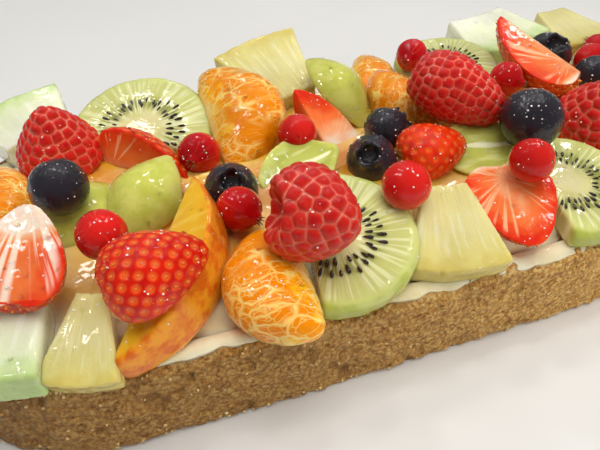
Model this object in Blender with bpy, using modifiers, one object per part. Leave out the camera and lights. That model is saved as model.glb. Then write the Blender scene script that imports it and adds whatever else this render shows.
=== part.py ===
"""A long fruit tart: a shortcrust case, its cream filling, and the fruit laid on top.

Sizes are in millimetres and angles in degrees until a mesh is finished; finished meshes are in metres.
The origin is the middle of the flat underside, +X runs along the tart and +Z is up.
Every piece of fruit is lowered on to what already lies below it, so no two solids touch.
"""

import math
from collections import namedtuple

import bmesh
import bpy
from mathutils import Matrix, Vector, noise
from mathutils.bvhtree import BVHTree

MM = 0.001
SEED = Vector((3.7, 1.3, 8.1))

# The crust: a bowed, round-cornered tray.
LENGTH = 300.0
END_WIDTH = 103.0
SIDE_BOW = 4.5
CORNER = 40.0
CRUST_HEIGHT = 25.0
WALL = 7.0
FLOOR = 5.0
CORNER_STEPS = 6
SIDE_STEPS = 14
END_STEPS = 3

# The cream: it fills the tray and rises in a low mound.
CREAM_GAP = 0.3
CREAM_RISE = 6.0

# Fruit is lowered from LIFT and stops REST_GAP above what carries it. It may slide up to the longest
# of SLIDES on its way, where that brings it lower by more than SLIDE_COST for each millimetre.
LIFT = 120.0
REST_GAP = 0.35
PROBE_SPACING = 1.6
SLIDES = (1.0, 2.0, 3.0, 4.5, 6.0)
SLIDE_HEADINGS = 8
SLIDE_COST = 0.9

Place = namedtuple("Place", "name form size x y heading lean towards roll")


def clear_scene():
    for obj in list(bpy.data.objects):
        bpy.data.objects.remove(obj, do_unlink=True)


def collection_named(name):
    made = bpy.data.collections.new(name)
    bpy.context.scene.collection.children.link(made)
    return made


def material_named(name, color, roughness):
    made = bpy.data.materials.new(name)
    made.use_nodes = True
    shader = made.node_tree.nodes["Principled BSDF"]
    shader.inputs["Base Color"].default_value = (*color, 1.0)
    shader.inputs["Roughness"].default_value = roughness
    shader.inputs["Metallic"].default_value = 0.0
    return made


# Crust and cream


def outline(inset):
    """The tart's outline seen from above, moved inwards by inset: round corners and bowed long sides."""
    half_length = LENGTH / 2 - inset
    half_width = END_WIDTH / 2 - inset
    radius = max(CORNER - inset, 3.0)
    points = []
    for quarter in range(4):
        sign_x = 1 if quarter in (0, 3) else -1
        sign_y = 1 if quarter in (0, 1) else -1
        centre_x = sign_x * (half_length - radius)
        centre_y = sign_y * (half_width - radius)
        for step in range(CORNER_STEPS + 1):
            angle = math.radians(90 * (quarter + step / CORNER_STEPS))
            points.append((centre_x + radius * math.cos(angle), centre_y + radius * math.sin(angle)))
        long_side = quarter in (0, 2)
        steps = SIDE_STEPS if long_side else END_STEPS
        span = -2 * centre_x if long_side else -2 * centre_y
        start_x, start_y = points[-1]
        for step in range(1, steps):
            along = span * step / steps
            points.append((start_x + along, start_y) if long_side else (start_x, start_y + along))
    bowed = []
    for x, y in points:
        swell = SIDE_BOW * (1 - (2 * x / LENGTH) ** 2) * min(1.0, abs(y) / half_width)
        bowed.append((x, y + math.copysign(swell, y)))
    return bowed


def loft(rings):
    """A closed solid through rings of equal point count, listed from its underside round to its last cap."""
    bm = bmesh.new()
    loops = [[bm.verts.new(point) for point in ring] for ring in rings]
    count = len(rings[0])
    for lower, upper in zip(loops, loops[1:]):
        for i in range(count):
            j = (i + 1) % count
            bm.faces.new((lower[i], lower[j], upper[j], upper[i]))
    bm.faces.new(list(reversed(loops[0])))
    bm.faces.new(loops[-1])
    return bm


def ring_at(inset, height, waviness=0.0):
    """One outline at a height, with slow waves in it and in its level, as hand-pressed dough has."""
    ring = []
    for x, y in outline(inset):
        wave = noise.noise(Vector((x, y, height)) * 0.035 + SEED)
        level = noise.noise(Vector((x, y, 0.0)) * 0.06 - SEED)
        push = 1 + waviness * wave / END_WIDTH
        ring.append((x * push, y * push, height + waviness * level))
    return ring


def crust_shape():
    rim = CRUST_HEIGHT
    return loft([
        ring_at(1.0, 0.0),
        ring_at(0.0, 1.6),
        ring_at(-0.4, 14.0, 0.8),
        ring_at(0.2, rim - 1.6, 1.0),
        ring_at(2.2, rim, 1.4),
        ring_at(WALL - 1.2, rim - 0.2, 1.4),
        ring_at(WALL, rim - 2.2),
        ring_at(WALL, FLOOR),
    ])


def cream_shape():
    edge = WALL + CREAM_GAP
    rim = CRUST_HEIGHT
    return loft([
        ring_at(edge, FLOOR + CREAM_GAP),
        ring_at(edge, rim - 1.2),
        ring_at(edge + 2.4, rim + 0.3),
        ring_at(edge + 11.0, rim + 0.5 * CREAM_RISE),
        ring_at(edge + 26.0, rim + 0.9 * CREAM_RISE),
        ring_at(edge + 40.0, rim + CREAM_RISE),
    ])


# Fruit forms: each gives a shape about its own middle, lying as its heading and lean expect.


def turned(profile, steps):
    """A solid turned about Z from (radius, height) points that run down its outer side."""
    mesh = bpy.data.meshes.new("profile")
    points = [(radius, 0.0, height) for radius, height in profile]
    mesh.from_pydata(points, [(i, i + 1) for i in range(len(points) - 1)], [])
    guide = bpy.data.objects.new("profile", mesh)
    bpy.context.scene.collection.objects.link(guide)
    screw = guide.modifiers.new("turn", "SCREW")
    screw.steps = steps
    screw.render_steps = steps
    screw.use_merge_vertices = True
    screw.merge_threshold = 0.0001
    graph = bpy.context.evaluated_depsgraph_get()
    solid = bpy.data.meshes.new_from_object(guide.evaluated_get(graph))
    bm = bmesh.new()
    bm.from_mesh(solid)
    bpy.data.objects.remove(guide)
    bpy.data.meshes.remove(mesh)
    bpy.data.meshes.remove(solid)
    return bm


def ball(across, down):
    bm = bmesh.new()
    bmesh.ops.create_uvsphere(bm, u_segments=across, v_segments=down, radius=1.0)
    return bm


def reshape(bm, rule):
    for vert in bm.verts:
        vert.co = rule(*vert.co)
    return bm


def cut_away(bm, point, normal):
    """Removes what lies on the side that normal points to, and closes the cut."""
    geometry = bm.verts[:] + bm.edges[:] + bm.faces[:]
    cut = bmesh.ops.bisect_plane(
        bm, geom=geometry, dist=1e-5, plane_co=point, plane_no=normal, clear_outer=True
    )
    edges = [part for part in cut["geom_cut"] if isinstance(part, bmesh.types.BMEdge)]
    bmesh.ops.holes_fill(bm, edges=edges, sides=0)
    return bm


def arc(radius, start, end, steps, squash=1.0):
    """Points (radius, height) along an arc, by angle from the top."""
    points = []
    for step in range(steps + 1):
        angle = math.radians(start + (end - start) * step / steps)
        points.append((radius * math.sin(angle), squash * radius * math.cos(angle)))
    points[-1] = (0.0, points[-1][1]) if end == 180 else points[-1]
    return points


def redcurrant(size):
    radius = size / 2
    nub = [(0.0, 1.2 * radius), (0.16 * radius, 1.15 * radius), (0.2 * radius, 0.97 * radius)]
    return turned(nub + arc(radius, 36, 180, 5), 10)


def blueberry(size):
    radius = size / 2
    crown = [(0.0, 0.72 * radius), (0.26 * radius, 0.72 * radius), (0.42 * radius, 0.98 * radius)]
    return turned(crown + arc(radius, 34, 180, 5, squash=0.92), 10)


def raspberry(size):
    """A blunt cone of drupelets with its tip up and a hollow where the stalk was."""

    def rule(x, y, z):
        ring = math.hypot(x, y)
        turn = math.atan2(y, x) + math.radians(18) * round(3.5 * (z + 1))
        radius = 0.46 * size * ring * (1.0 - 0.24 * z)
        hollow = 0.3 * size if ring < 0.05 and z < 0 else 0.0
        return Vector((radius * math.cos(turn), radius * math.sin(turn), 0.44 * size * z + hollow))

    bm = reshape(ball(10, 7), rule)
    side = [face for face in bm.faces if abs(face.normal.z) < 0.98]
    for face in side:
        middle = face.calc_center_median()
        outwards = Vector((middle.x, middle.y, 0.5 * middle.z)).normalized()
        poked = bmesh.ops.poke(bm, faces=[face], center_mode="MEAN")
        if math.hypot(middle.x, middle.y) > 0.2 * size:
            poked["verts"][0].co += outwards * 0.055 * size
    return bm


STRAWBERRY = [(0.0, -0.44), (0.2, -0.49), (0.38, -0.36), (0.43, -0.16), (0.38, 0.08), (0.25, 0.32), (0.1, 0.47)]


def strawberry(size):
    """A whole strawberry lying down, its tip along +X."""
    profile = [(radius * size, height * size) for radius, height in reversed(STRAWBERRY)]
    bm = turned([(0.0, 0.5 * size)] + profile, 12)
    return reshape(bm, lambda x, y, z: Vector((z, y, 0.92 * -x)))


def strawberry_half(size):
    """Half a strawberry with its cut face down."""
    return cut_away(strawberry(size), (0, 0, 0.3), (0, 0, -1))


def strawberry_wedge(size):
    """A quarter of a strawberry: one cut face down, the other facing -Y."""
    return cut_away(strawberry_half(size), (0, 0.1, 0), (0, -1, 0))


def grape_half(size):
    """Half a grape with its cut face down; the +X end is the sharper one."""

    def rule(x, y, z):
        narrow = 1.0 - 0.25 * max(x, 0.0) ** 2
        return Vector((0.5 * size * x, 0.37 * size * y * narrow, 0.36 * size * z * narrow))

    return cut_away(reshape(ball(12, 8), rule), (0, 0, 0.05 * size), (0, 0, -1))


def mandarin(size):
    """A segment lying on its side: round back towards -Y, thin inner edge towards +Y."""

    def rule(x, y, z):
        depth = 0.34 * size * y * (1.0 if y < 0 else 0.7) + 0.12 * size * x * x
        thick = 0.2 * size * z * (1.0 - 0.36 * y)
        return Vector((0.5 * size * x, depth, thick))

    return reshape(ball(12, 8), rule)


def kiwi_slice(size):
    bm = bmesh.new()
    bmesh.ops.create_cone(
        bm, cap_ends=True, segments=20, radius1=size / 2, radius2=size / 2, depth=0.17 * size
    )
    rims = [edge for edge in bm.edges if abs(edge.verts[0].co.z - edge.verts[1].co.z) < 0.01]
    bmesh.ops.bevel(bm, geom=rims, offset=0.035 * size, segments=1, affect="EDGES")
    return reshape(bm, lambda x, y, z: Vector((x, 0.94 * y, z)))


def kiwi_piece(size):
    """A kiwi slice with its -X side cut off."""
    return cut_away(kiwi_slice(size), (-0.15 * size, 0, 0), (-1, 0, 0))


def sector_slab(inner, outer, opening, thickness):
    """A slab cut from a ring: its outer arc faces -Y, its middle is at the origin."""
    bm = bmesh.new()
    middle = (inner + outer) / 2
    rim = []
    for radius, steps in ((outer, range(-3, 4)), (inner, range(2, -3, -2))):
        widest = max(abs(step) for step in steps)
        for step in steps:
            angle = math.radians(opening / 2 * step / widest)
            rim.append((radius * math.sin(angle), middle - radius * math.cos(angle), -thickness / 2))
    face = bm.faces.new([bm.verts.new(point) for point in rim])
    grown = bmesh.ops.extrude_face_region(bm, geom=[face])
    raised = [part for part in grown["geom"] if isinstance(part, bmesh.types.BMVert)]
    bmesh.ops.translate(bm, verts=raised, vec=(0, 0, thickness))
    bmesh.ops.recalc_face_normals(bm, faces=bm.faces)
    caps = [edge for edge in bm.edges if abs(edge.verts[0].co.z - edge.verts[1].co.z) < 0.01]
    bmesh.ops.bevel(bm, geom=caps, offset=0.9, segments=1, affect="EDGES")
    return bm


def pineapple_wedge(size):
    return sector_slab(0.2 * size, 1.25 * size, 31, 0.36 * size)


def pineapple_chunk(size):
    return sector_slab(0.9 * size, 1.8 * size, 30, 0.36 * size)


def melon_wedge(size):
    return sector_slab(1.1 * size, 1.9 * size, 36, 0.34 * size)


def melon_chunk(size):
    return sector_slab(1.4 * size, 2.1 * size, 30, 0.38 * size)


def peach_wedge(size):
    """A slice of a stone fruit: skin towards -Y, two cut faces, and a flat where the stone was."""
    opening = 15
    core = 0.45
    bm = reshape(ball(20, 12), lambda x, y, z: 0.5 * size * Vector((z, 0.94 * y, -x)))
    slope = math.radians(opening)
    for side in (1, -1):
        cut_away(bm, (0, 0, 0), (0, math.sin(slope), side * math.cos(slope)))
    cut_away(bm, (0, -0.5 * size * core, 0), (0, 1, 0))
    return reshape(bm, lambda x, y, z: Vector((x, y + 0.5 * size * (1 + core) / 2, z)))


FORMS = {
    shape.__name__: shape
    for shape in (
        redcurrant, blueberry, raspberry, strawberry, strawberry_half, strawberry_wedge, grape_half,
        mandarin, kiwi_slice, kiwi_piece, pineapple_wedge, pineapple_chunk, melon_wedge, melon_chunk, peach_wedge,
    )
}

# Base colour and roughness of each form's material.
FINISHES = {
    "crust": ((0.42, 0.23, 0.10), 0.8),
    "cream": ((0.86, 0.80, 0.62), 0.4),
    "redcurrant": ((0.55, 0.02, 0.02), 0.12),
    "blueberry": ((0.03, 0.03, 0.06), 0.2),
    "raspberry": ((0.60, 0.03, 0.04), 0.2),
    "strawberry": ((0.75, 0.06, 0.02), 0.2),
    "strawberry_half": ((0.75, 0.08, 0.03), 0.2),
    "strawberry_wedge": ((0.80, 0.16, 0.07), 0.2),
    "grape_half": ((0.50, 0.55, 0.14), 0.15),
    "mandarin": ((0.90, 0.40, 0.03), 0.2),
    "kiwi_slice": ((0.50, 0.56, 0.20), 0.2),
    "kiwi_piece": ((0.50, 0.56, 0.20), 0.2),
    "pineapple_wedge": ((0.80, 0.70, 0.30), 0.2),
    "pineapple_chunk": ((0.80, 0.72, 0.38), 0.2),
    "melon_wedge": ((0.66, 0.78, 0.46), 0.2),
    "melon_chunk": ((0.78, 0.82, 0.64), 0.2),
    "peach_wedge": ((0.88, 0.45, 0.08), 0.25),
}

# name, form, size; place of its middle; heading of its own +X; how far it leans and towards where; roll.
LAYOUT = [Place(*row) for row in (
    ("melon_chunk_1", "melon_chunk", 26, -127, 48, 20, 16, -110, 0),
    ("kiwi_slice_1", "kiwi_piece", 42, -86, 32, 70, 14, -110, 0),
    ("mandarin_1", "mandarin", 29, -129, 4, 70, 5, -110, 0),
    ("mandarin_2", "mandarin", 37, -58, 24, 88, 16, -110, 0),
    ("pineapple_chunk_1", "pineapple_chunk", 31, -38, 48, -20, 20, -110, 0),
    ("kiwi_slice_2", "kiwi_piece", 38, -51, -39, -10, 16, -110, 0),
    ("melon_wedge_1", "melon_wedge", 24, -131, -40, -25, 5, -110, 0),
    ("pineapple_wedge_1", "pineapple_wedge", 24, -114, -41, -20, 8, -110, 0),
    ("peach_wedge_1", "peach_wedge", 55, -92, -38.5, 57, 17, -110, -15),
    ("mandarin_3", "mandarin", 33, -71, -45, -90, 10, -160, 0),
    ("pineapple_wedge_2", "pineapple_chunk", 26, -21, -44, -15, 13, -110, 0),
    ("kiwi_slice_4", "kiwi_piece", 38, 19, -38, -10, 12, -110, 0),
    ("strawberry_half_2", "strawberry_half", 26, -3, -43, -101, 20, -130, 180),
    ("mandarin_4", "mandarin", 28, -4, 40, 60, 6, -110, 0),
    ("mandarin_5", "mandarin", 30, -4, 16, -60, 4, -110, 0),
    ("kiwi_slice_3", "kiwi_slice", 37, 25, 34, 0, 8, -110, 0),
    ("melon_chunk_2", "melon_chunk", 31, 53, 48, 8, 9, -110, 0),
    ("pineapple_chunk_2", "pineapple_chunk", 28, 99, 52, 0, 8, -110, 0),
    ("grape_half_5", "grape_half", 23, 7, -19, 20, 22, -110, 180),
    ("grape_half_4", "grape_half", 23, -50, -11, 10, 6, -110, 180),
    ("strawberry_wedge_1", "strawberry_wedge", 28, -91, 11, -40, 0, 0, 0),
    ("grape_half_1", "grape_half", 23, -107, -3, 30, 6, -110, 0),
    ("strawberry_half_1", "strawberry_half", 27, -121, -29, -110, 28, -110, 180),
    ("strawberry_wedge_2", "strawberry_wedge", 27, -33, 8, 80, 0, -110, 0),
    ("grape_half_3", "grape_half", 27, -22, 25, -80, 28, -110, 0),
    ("strawberry_wedge_3", "strawberry_wedge", 35, 49, 20, 118, 18, -110, 0),
    ("grape_half_2", "grape_half", 23, -95, -5, 60, 14, -110, 0),
    ("strawberry_1", "strawberry_half", 24, -93, -42, 10, 15, -110, 0),
    ("blueberry_3", "blueberry", 14, -18, -1, 0, 60, 0, 0),
    ("raspberry_1", "raspberry", 25, -111, 23, 0, 10, -110, 0),
    ("blueberry_1", "blueberry", 14, -111, -8, 0, 160, 90, 0),
    ("redcurrant_2", "redcurrant", 11, -103, -35, 0, 150, 90, 0),
    ("redcurrant_1", "redcurrant", 12, -74, 8, 0, 80, -120, 0),
    ("blueberry_2", "blueberry", 14, -70, -13, 0, 35, -100, 0),
    ("redcurrant_4", "redcurrant", 11, -77, -25, 0, 90, -60, 0),
    ("raspberry_2", "raspberry", 24, -58, -42, 0, 75, -62, 0),
    ("redcurrant_3", "redcurrant", 11, -43, 2, 0, 150, 90, 0),
    ("blueberry_4", "blueberry", 14, -29, -13, 0, 45, -130, 0),
    ("redcurrant_5", "redcurrant", 12, -31, -35, 0, 150, 90, 0),
    ("strawberry_2", "strawberry_half", 19, -10, -12, 0, 22, -110, 0),
    ("raspberry_3", "raspberry", 25, 2, -2, 0, 80, -69, 0),
    ("redcurrant_6", "redcurrant", 11, 9, 33, 0, 90, -140, 0),
    ("redcurrant_7", "redcurrant", 11, 39, 10.5, 0, 90, -60, 0),
    ("blueberry_6", "blueberry", 17, 18, -23, 0, 150, 90, 0),
    ("redcurrant_8", "redcurrant", 11, 3, -39, 0, 150, 90, 0),
    ("raspberry_4", "raspberry", 24, 44, -19, 0, 20, -110, 0),
    ("blueberry_5", "blueberry", 17, 67, 29, 0, 35, -110, 0),
    ("redcurrant_9", "redcurrant", 12, 81, 21, 0, 90, -60, 0),
    ("blueberry_7", "blueberry", 14, 69, 7, 0, 90, 60, 0),
    ("mandarin_6", "mandarin", 31, 49, -46, 80, 6, -90, 0),
    ("pineapple_wedge_3", "pineapple_wedge", 27, 74, -40, 12, 6, -90, 0),
    ("kiwi_slice_5", "kiwi_slice", 39, 106, -30, 0, 6, -80, 0),
    ("kiwi_slice_6", "kiwi_slice", 38, 108, 14, 0, 5, 60, 0),
    ("melon_wedge_2", "melon_wedge", 26, 134, -8, 90, 4, 0, 0),
    ("peach_wedge_2", "peach_wedge", 46, 78, -14, 160, 5, -90, -15),
    ("grape_half_6", "grape_half", 24, 132, 24, 70, 6, 30, 0),
    ("strawberry_half_3", "strawberry_half", 25, 92, -8, 200, 10, -90, 0),
    ("raspberry_5", "raspberry", 24, 120, -8, 0, 70, -40, 0),
)]


def posture(place):
    """Turns a form by its roll and heading, then leans it over towards a compass direction."""
    aim = math.radians(place.towards)
    axis = Vector((-math.sin(aim), math.cos(aim), 0.0))
    leaned = Matrix.Rotation(math.radians(place.lean), 4, axis)
    headed = Matrix.Rotation(math.radians(place.heading), 4, "Z")
    rolled = Matrix.Rotation(math.radians(place.roll), 4, "X")
    return leaned @ headed @ rolled


class Settled:
    """A piece in its place: its search tree, its probe points, and its box seen from above."""

    def __init__(self, bm):
        bm.faces.ensure_lookup_table()
        self.tree = BVHTree.FromBMesh(bm)
        self.probes = [vert.co.copy() for vert in bm.verts]
        for edge in bm.edges:
            start, end = (vert.co for vert in edge.verts)
            steps = int((end - start).length / PROBE_SPACING)
            self.probes += [start.lerp(end, (step + 1) / (steps + 1)) for step in range(steps)]
        self.low = [min(point[axis] for point in self.probes) for axis in (0, 1)]
        self.high = [max(point[axis] for point in self.probes) for axis in (0, 1)]

    def meets(self, other, margin):
        return all(
            self.low[i] < other.high[i] + margin and other.low[i] < self.high[i] + margin for i in (0, 1)
        )


def fall(upper, carriers, slide):
    """How far a piece held at LIFT, and slid sideways, comes down before it stops on a carrier."""
    down = Vector((0, 0, -1))
    distances = []
    for carrier in carriers:
        probing = ((upper.probes, carrier.tree, down, slide), (carrier.probes, upper.tree, -down, -slide))
        for points, tree, way, moved in probing:
            hits = (tree.ray_cast(point + moved, way)[3] for point in points)
            distances += [distance for distance in hits if distance is not None]
    return min(distances) - REST_GAP


def resting_move(upper, laid):
    """The move, slide and fall together, that brings a piece to its best resting place."""
    near = [carrier for carrier in laid if upper.meets(carrier, SLIDES[-1])]
    slides = [Vector((0, 0, 0))]
    for reach in SLIDES:
        for step in range(SLIDE_HEADINGS):
            angle = math.tau * step / SLIDE_HEADINGS
            slides.append(reach * Vector((math.cos(angle), math.sin(angle), 0)))
    falls = [(fall(upper, near, slide) - SLIDE_COST * slide.length, i) for i, slide in enumerate(slides)]
    best = max(falls)[1]
    return slides[best] - Vector((0, 0, fall(upper, near, slides[best])))


def add_piece(bm, name, finish, home):
    mesh = bpy.data.meshes.new(name)
    bm.to_mesh(mesh)
    bm.free()
    mesh.transform(Matrix.Scale(MM, 4))
    mesh.materials.append(material_named(name, *FINISHES[finish]))
    mesh.shade_smooth()
    mesh.set_sharp_from_angle(angle=math.radians(40))
    obj = bpy.data.objects.new(name, mesh)
    home.objects.link(obj)
    return obj


def settle(place, laid):
    """Makes a piece of fruit, lowers it on to what is laid already, and gives back its shape."""
    bm = FORMS[place.form](place.size)
    bmesh.ops.transform(bm, matrix=posture(place), verts=bm.verts)
    bmesh.ops.translate(bm, verts=bm.verts, vec=(place.x, place.y, LIFT))
    bmesh.ops.translate(bm, verts=bm.verts, vec=resting_move(Settled(bm), laid))
    laid.append(Settled(bm))
    return bm


def main():
    clear_scene()
    tart = collection_named("fruit_tart")
    laid = []
    for name, bm in (("crust", crust_shape()), ("cream", cream_shape())):
        laid.append(Settled(bm))
        add_piece(bm, name, name, tart)
    for place in LAYOUT:
        add_piece(settle(place, laid), place.name, place.form, tart)


if __name__ == "__main__":
    main()
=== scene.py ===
"""A long fruit tart: shortcrust case, pastry cream and glazed fruit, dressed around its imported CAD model.

Sizes are in millimetres and angles in degrees until a mesh is finished; finished meshes are in metres.
Every piece of fruit is built about its own middle, then turned and fitted to the box of its CAD node.
"""

from __future__ import annotations

import functools
import itertools
import logging
import math
from dataclasses import dataclass, field, replace
from enum import Enum
from typing import Any, Callable, Sequence

import bmesh
import bpy
import numpy as np
from mathutils import Matrix, Vector, noise
from mathutils.bvhtree import BVHTree

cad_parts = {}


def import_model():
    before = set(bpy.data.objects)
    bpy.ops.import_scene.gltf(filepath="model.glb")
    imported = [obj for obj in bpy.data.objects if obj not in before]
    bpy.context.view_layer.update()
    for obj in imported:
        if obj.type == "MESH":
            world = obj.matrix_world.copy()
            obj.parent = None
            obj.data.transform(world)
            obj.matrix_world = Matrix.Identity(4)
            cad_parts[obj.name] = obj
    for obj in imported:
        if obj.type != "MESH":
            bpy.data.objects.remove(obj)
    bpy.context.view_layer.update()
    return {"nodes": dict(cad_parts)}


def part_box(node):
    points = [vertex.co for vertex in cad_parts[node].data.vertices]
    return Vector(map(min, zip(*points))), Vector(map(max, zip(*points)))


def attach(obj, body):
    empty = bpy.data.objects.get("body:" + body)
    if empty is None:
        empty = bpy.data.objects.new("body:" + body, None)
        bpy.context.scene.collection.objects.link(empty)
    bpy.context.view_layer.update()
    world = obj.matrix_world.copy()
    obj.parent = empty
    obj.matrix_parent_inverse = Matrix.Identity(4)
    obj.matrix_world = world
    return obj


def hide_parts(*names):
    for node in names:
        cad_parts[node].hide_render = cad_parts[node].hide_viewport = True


LOG = logging.getLogger("tart")
MM = 0.001
BODY = "root"
GOLDEN_TURN = math.radians(137.508)
SEED_DETAIL = 2
SWELL = 1.05
HAND_SEED = Vector((3.7, 1.3, 8.1))
SEED_STRIDE = 17.137
HASH_STEPS = (73856093, 19349663, 83492791)
HASH_MIX = 1274126177
LOW_BITS = 0xFFFF

Colour = tuple[float, float, float]
Socket = bpy.types.NodeSocket
Stops = Sequence[tuple[float, Colour]]


def tint(red: int, green: int, blue: int) -> Colour:
    """Turns display values of 0 to 255 into a linear colour.

    Args:
        red, green, blue: the colour as it looks on a screen.

    Returns:
        The linear colour, each part from 0 to 1.
    """
    shares = (value / 255 for value in (red, green, blue))
    parts = [share / 12.92 if share <= 0.04045 else ((share + 0.055) / 1.055) ** 2.4 for share in shares]
    return (parts[0], parts[1], parts[2])


def lumps(points: np.ndarray, scale: float, seed: int) -> np.ndarray:
    """Smooth random values that vary over space.

    Args:
        points: an (n, 3) array.
        scale: the size of a lump, in the unit of the points.
        seed: a different number gives different lumps.

    Returns:
        n values from -1 to 1.
    """
    cells = points / scale + seed * SEED_STRIDE
    base = np.floor(cells).astype(np.int64)
    part = cells - base
    part = part * part * (3 - 2 * part)
    total = np.zeros(len(points))
    for corner in itertools.product((0, 1), repeat=3):
        at = base + corner
        mixed = np.bitwise_xor.reduce(at * HASH_STEPS, axis=1)
        mixed = (mixed ^ (mixed >> 13)) * HASH_MIX
        value = ((mixed ^ (mixed >> 16)) & LOW_BITS) / LOW_BITS
        total += value * np.prod(np.where(corner, part, 1 - part), axis=1)
    return total * 2 - 1


def smooth_step(low: float, high: float, values: np.ndarray) -> np.ndarray:
    """Goes smoothly from 0 at low to 1 at high."""
    share = np.clip((values - low) / (high - low), 0, 1)
    return share * share * (3 - 2 * share)


# Materials


class Graph:
    """A material's node tree with one Principled shader, and short ways to add to it."""

    def __init__(self, name: str) -> None:
        """Starts an empty material of that name."""
        self.material = bpy.data.materials.new(name)
        self.material.use_nodes = True
        self.tree = self.material.node_tree
        self.tree.nodes.clear()
        self.shader = self.add("ShaderNodeBsdfPrincipled")
        output = self.add("ShaderNodeOutputMaterial")
        self.tree.links.new(self.shader.outputs["BSDF"], output.inputs["Surface"])
        self.object_place = self.add("ShaderNodeTexCoord").outputs["Object"]

    def add(self, kind: str, **settings: object) -> bpy.types.Node:
        """Adds a node and sets its properties."""
        node = self.tree.nodes.new(kind)
        for key, value in settings.items():
            setattr(node, key, value)
        return node

    def feed(self, socket: Socket, value: object) -> None:
        """Links a socket to an output, or sets its own value."""
        if isinstance(value, bpy.types.NodeSocket):
            self.tree.links.new(value, socket)
        elif isinstance(value, tuple) and len(value) == 3 and socket.type == "RGBA":
            socket.default_value = (*value, 1.0)
        else:
            socket.default_value = value

    def settle(self, **values: object) -> None:
        """Sets the shader's own inputs, with _ for each space in a name."""
        for key, value in values.items():
            self.feed(self.shader.inputs[key.replace("_", " ")], value)

    def attribute(self, name: str, number: bool = False) -> Socket:
        """Reads a mesh attribute, as a vector or as a number."""
        node = self.add("ShaderNodeAttribute", attribute_name=name)
        return node.outputs["Fac" if number else "Vector"]

    def math(self, operation: str, first: object, second: object = 0.0) -> Socket:
        """One step of arithmetic."""
        node = self.add("ShaderNodeMath", operation=operation)
        self.feed(node.inputs[0], first)
        self.feed(node.inputs[1], second)
        return node.outputs[0]

    def scaled(self, vector: Socket, factors: Colour) -> Socket:
        """A vector with each part multiplied by its own factor."""
        node = self.add("ShaderNodeVectorMath", operation="MULTIPLY")
        self.feed(node.inputs[0], vector)
        self.feed(node.inputs[1], factors)
        return node.outputs[0]

    def noise(self, vector: Socket, scale: float, detail: float = 2.0, roughness: float = 0.5) -> Socket:
        """Cloudy values from 0 to 1."""
        node = self.add("ShaderNodeTexNoise")
        self.feed(node.inputs["Vector"], vector)
        self.feed(node.inputs["Scale"], scale)
        self.feed(node.inputs["Detail"], detail)
        self.feed(node.inputs["Roughness"], roughness)
        return node.outputs["Fac"]

    def cells(self, vector: Socket, scale: float, feature: str = "F1") -> Socket:
        """Distance to the nearest cell centre, or to the nearest cell edge."""
        node = self.add("ShaderNodeTexVoronoi", feature=feature)
        self.feed(node.inputs["Vector"], vector)
        self.feed(node.inputs["Scale"], scale)
        return node.outputs["Distance"]

    def span(self, value: Socket, low: float, high: float, start: float = 0.0, end: float = 1.0) -> Socket:
        """Goes smoothly from start to end as the value goes from low to high."""
        node = self.add("ShaderNodeMapRange", interpolation_type="SMOOTHSTEP")
        names = ("Value", "From Min", "From Max", "To Min", "To Max")
        for name, number in zip(names, (value, low, high, start, end)):
            self.feed(node.inputs[name], number)
        return node.outputs["Result"]

    def blend(self, factor: object, first: object, second: object, way: str = "MIX") -> Socket:
        """Mixes two colours."""
        node = self.add("ShaderNodeMix", data_type="RGBA", blend_type=way)
        self.feed(node.inputs[0], factor)
        self.feed(node.inputs[6], first)
        self.feed(node.inputs[7], second)
        return node.outputs[2]

    def ramp(self, value: Socket, stops: Stops) -> Socket:
        """Colours along a scale."""
        node = self.add("ShaderNodeValToRGB")
        node.color_ramp.interpolation = "EASE"
        elements = node.color_ramp.elements
        elements.remove(elements[1])
        elements[0].position = stops[0][0]
        elements[0].color = (*stops[0][1], 1.0)
        for place, colour in stops[1:]:
            elements.new(place).color = (*colour, 1.0)
        self.feed(node.inputs[0], value)
        return node.outputs["Color"]

    def bump(self, height: Socket, distance: float) -> Socket:
        """A normal for relief of that height; distance is in millimetres."""
        node = self.add("ShaderNodeBump")
        self.feed(node.inputs["Distance"], distance * MM)
        self.feed(node.inputs["Height"], height)
        return node.outputs["Normal"]


@dataclass(frozen=True)
class Glaze:
    """The clear jelly brushed over everything: thick, smooth, with small drops in it; the white specks on it are
    painted glints.
    """

    weight: float = 1.0
    roughness: float = 0.045
    drop_scale: float = 620.0
    wave_scale: float = 260.0
    drop_height: float = 0.22

    def coat(self, graph: Graph) -> None:
        """Adds the glaze to a shader as its clear coat."""
        waves = graph.noise(graph.object_place, self.wave_scale, 2.0)
        drops = graph.span(graph.cells(graph.object_place, self.drop_scale), 0.0, 0.36, 1.0, 0.0)
        height = graph.math("ADD", waves, graph.math("MULTIPLY", drops, 0.5))
        graph.settle(
            Coat_Weight=self.weight,
            Coat_Roughness=self.roughness,
            Coat_IOR=1.37,
            Coat_Normal=graph.bump(height, self.drop_height),
        )


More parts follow.
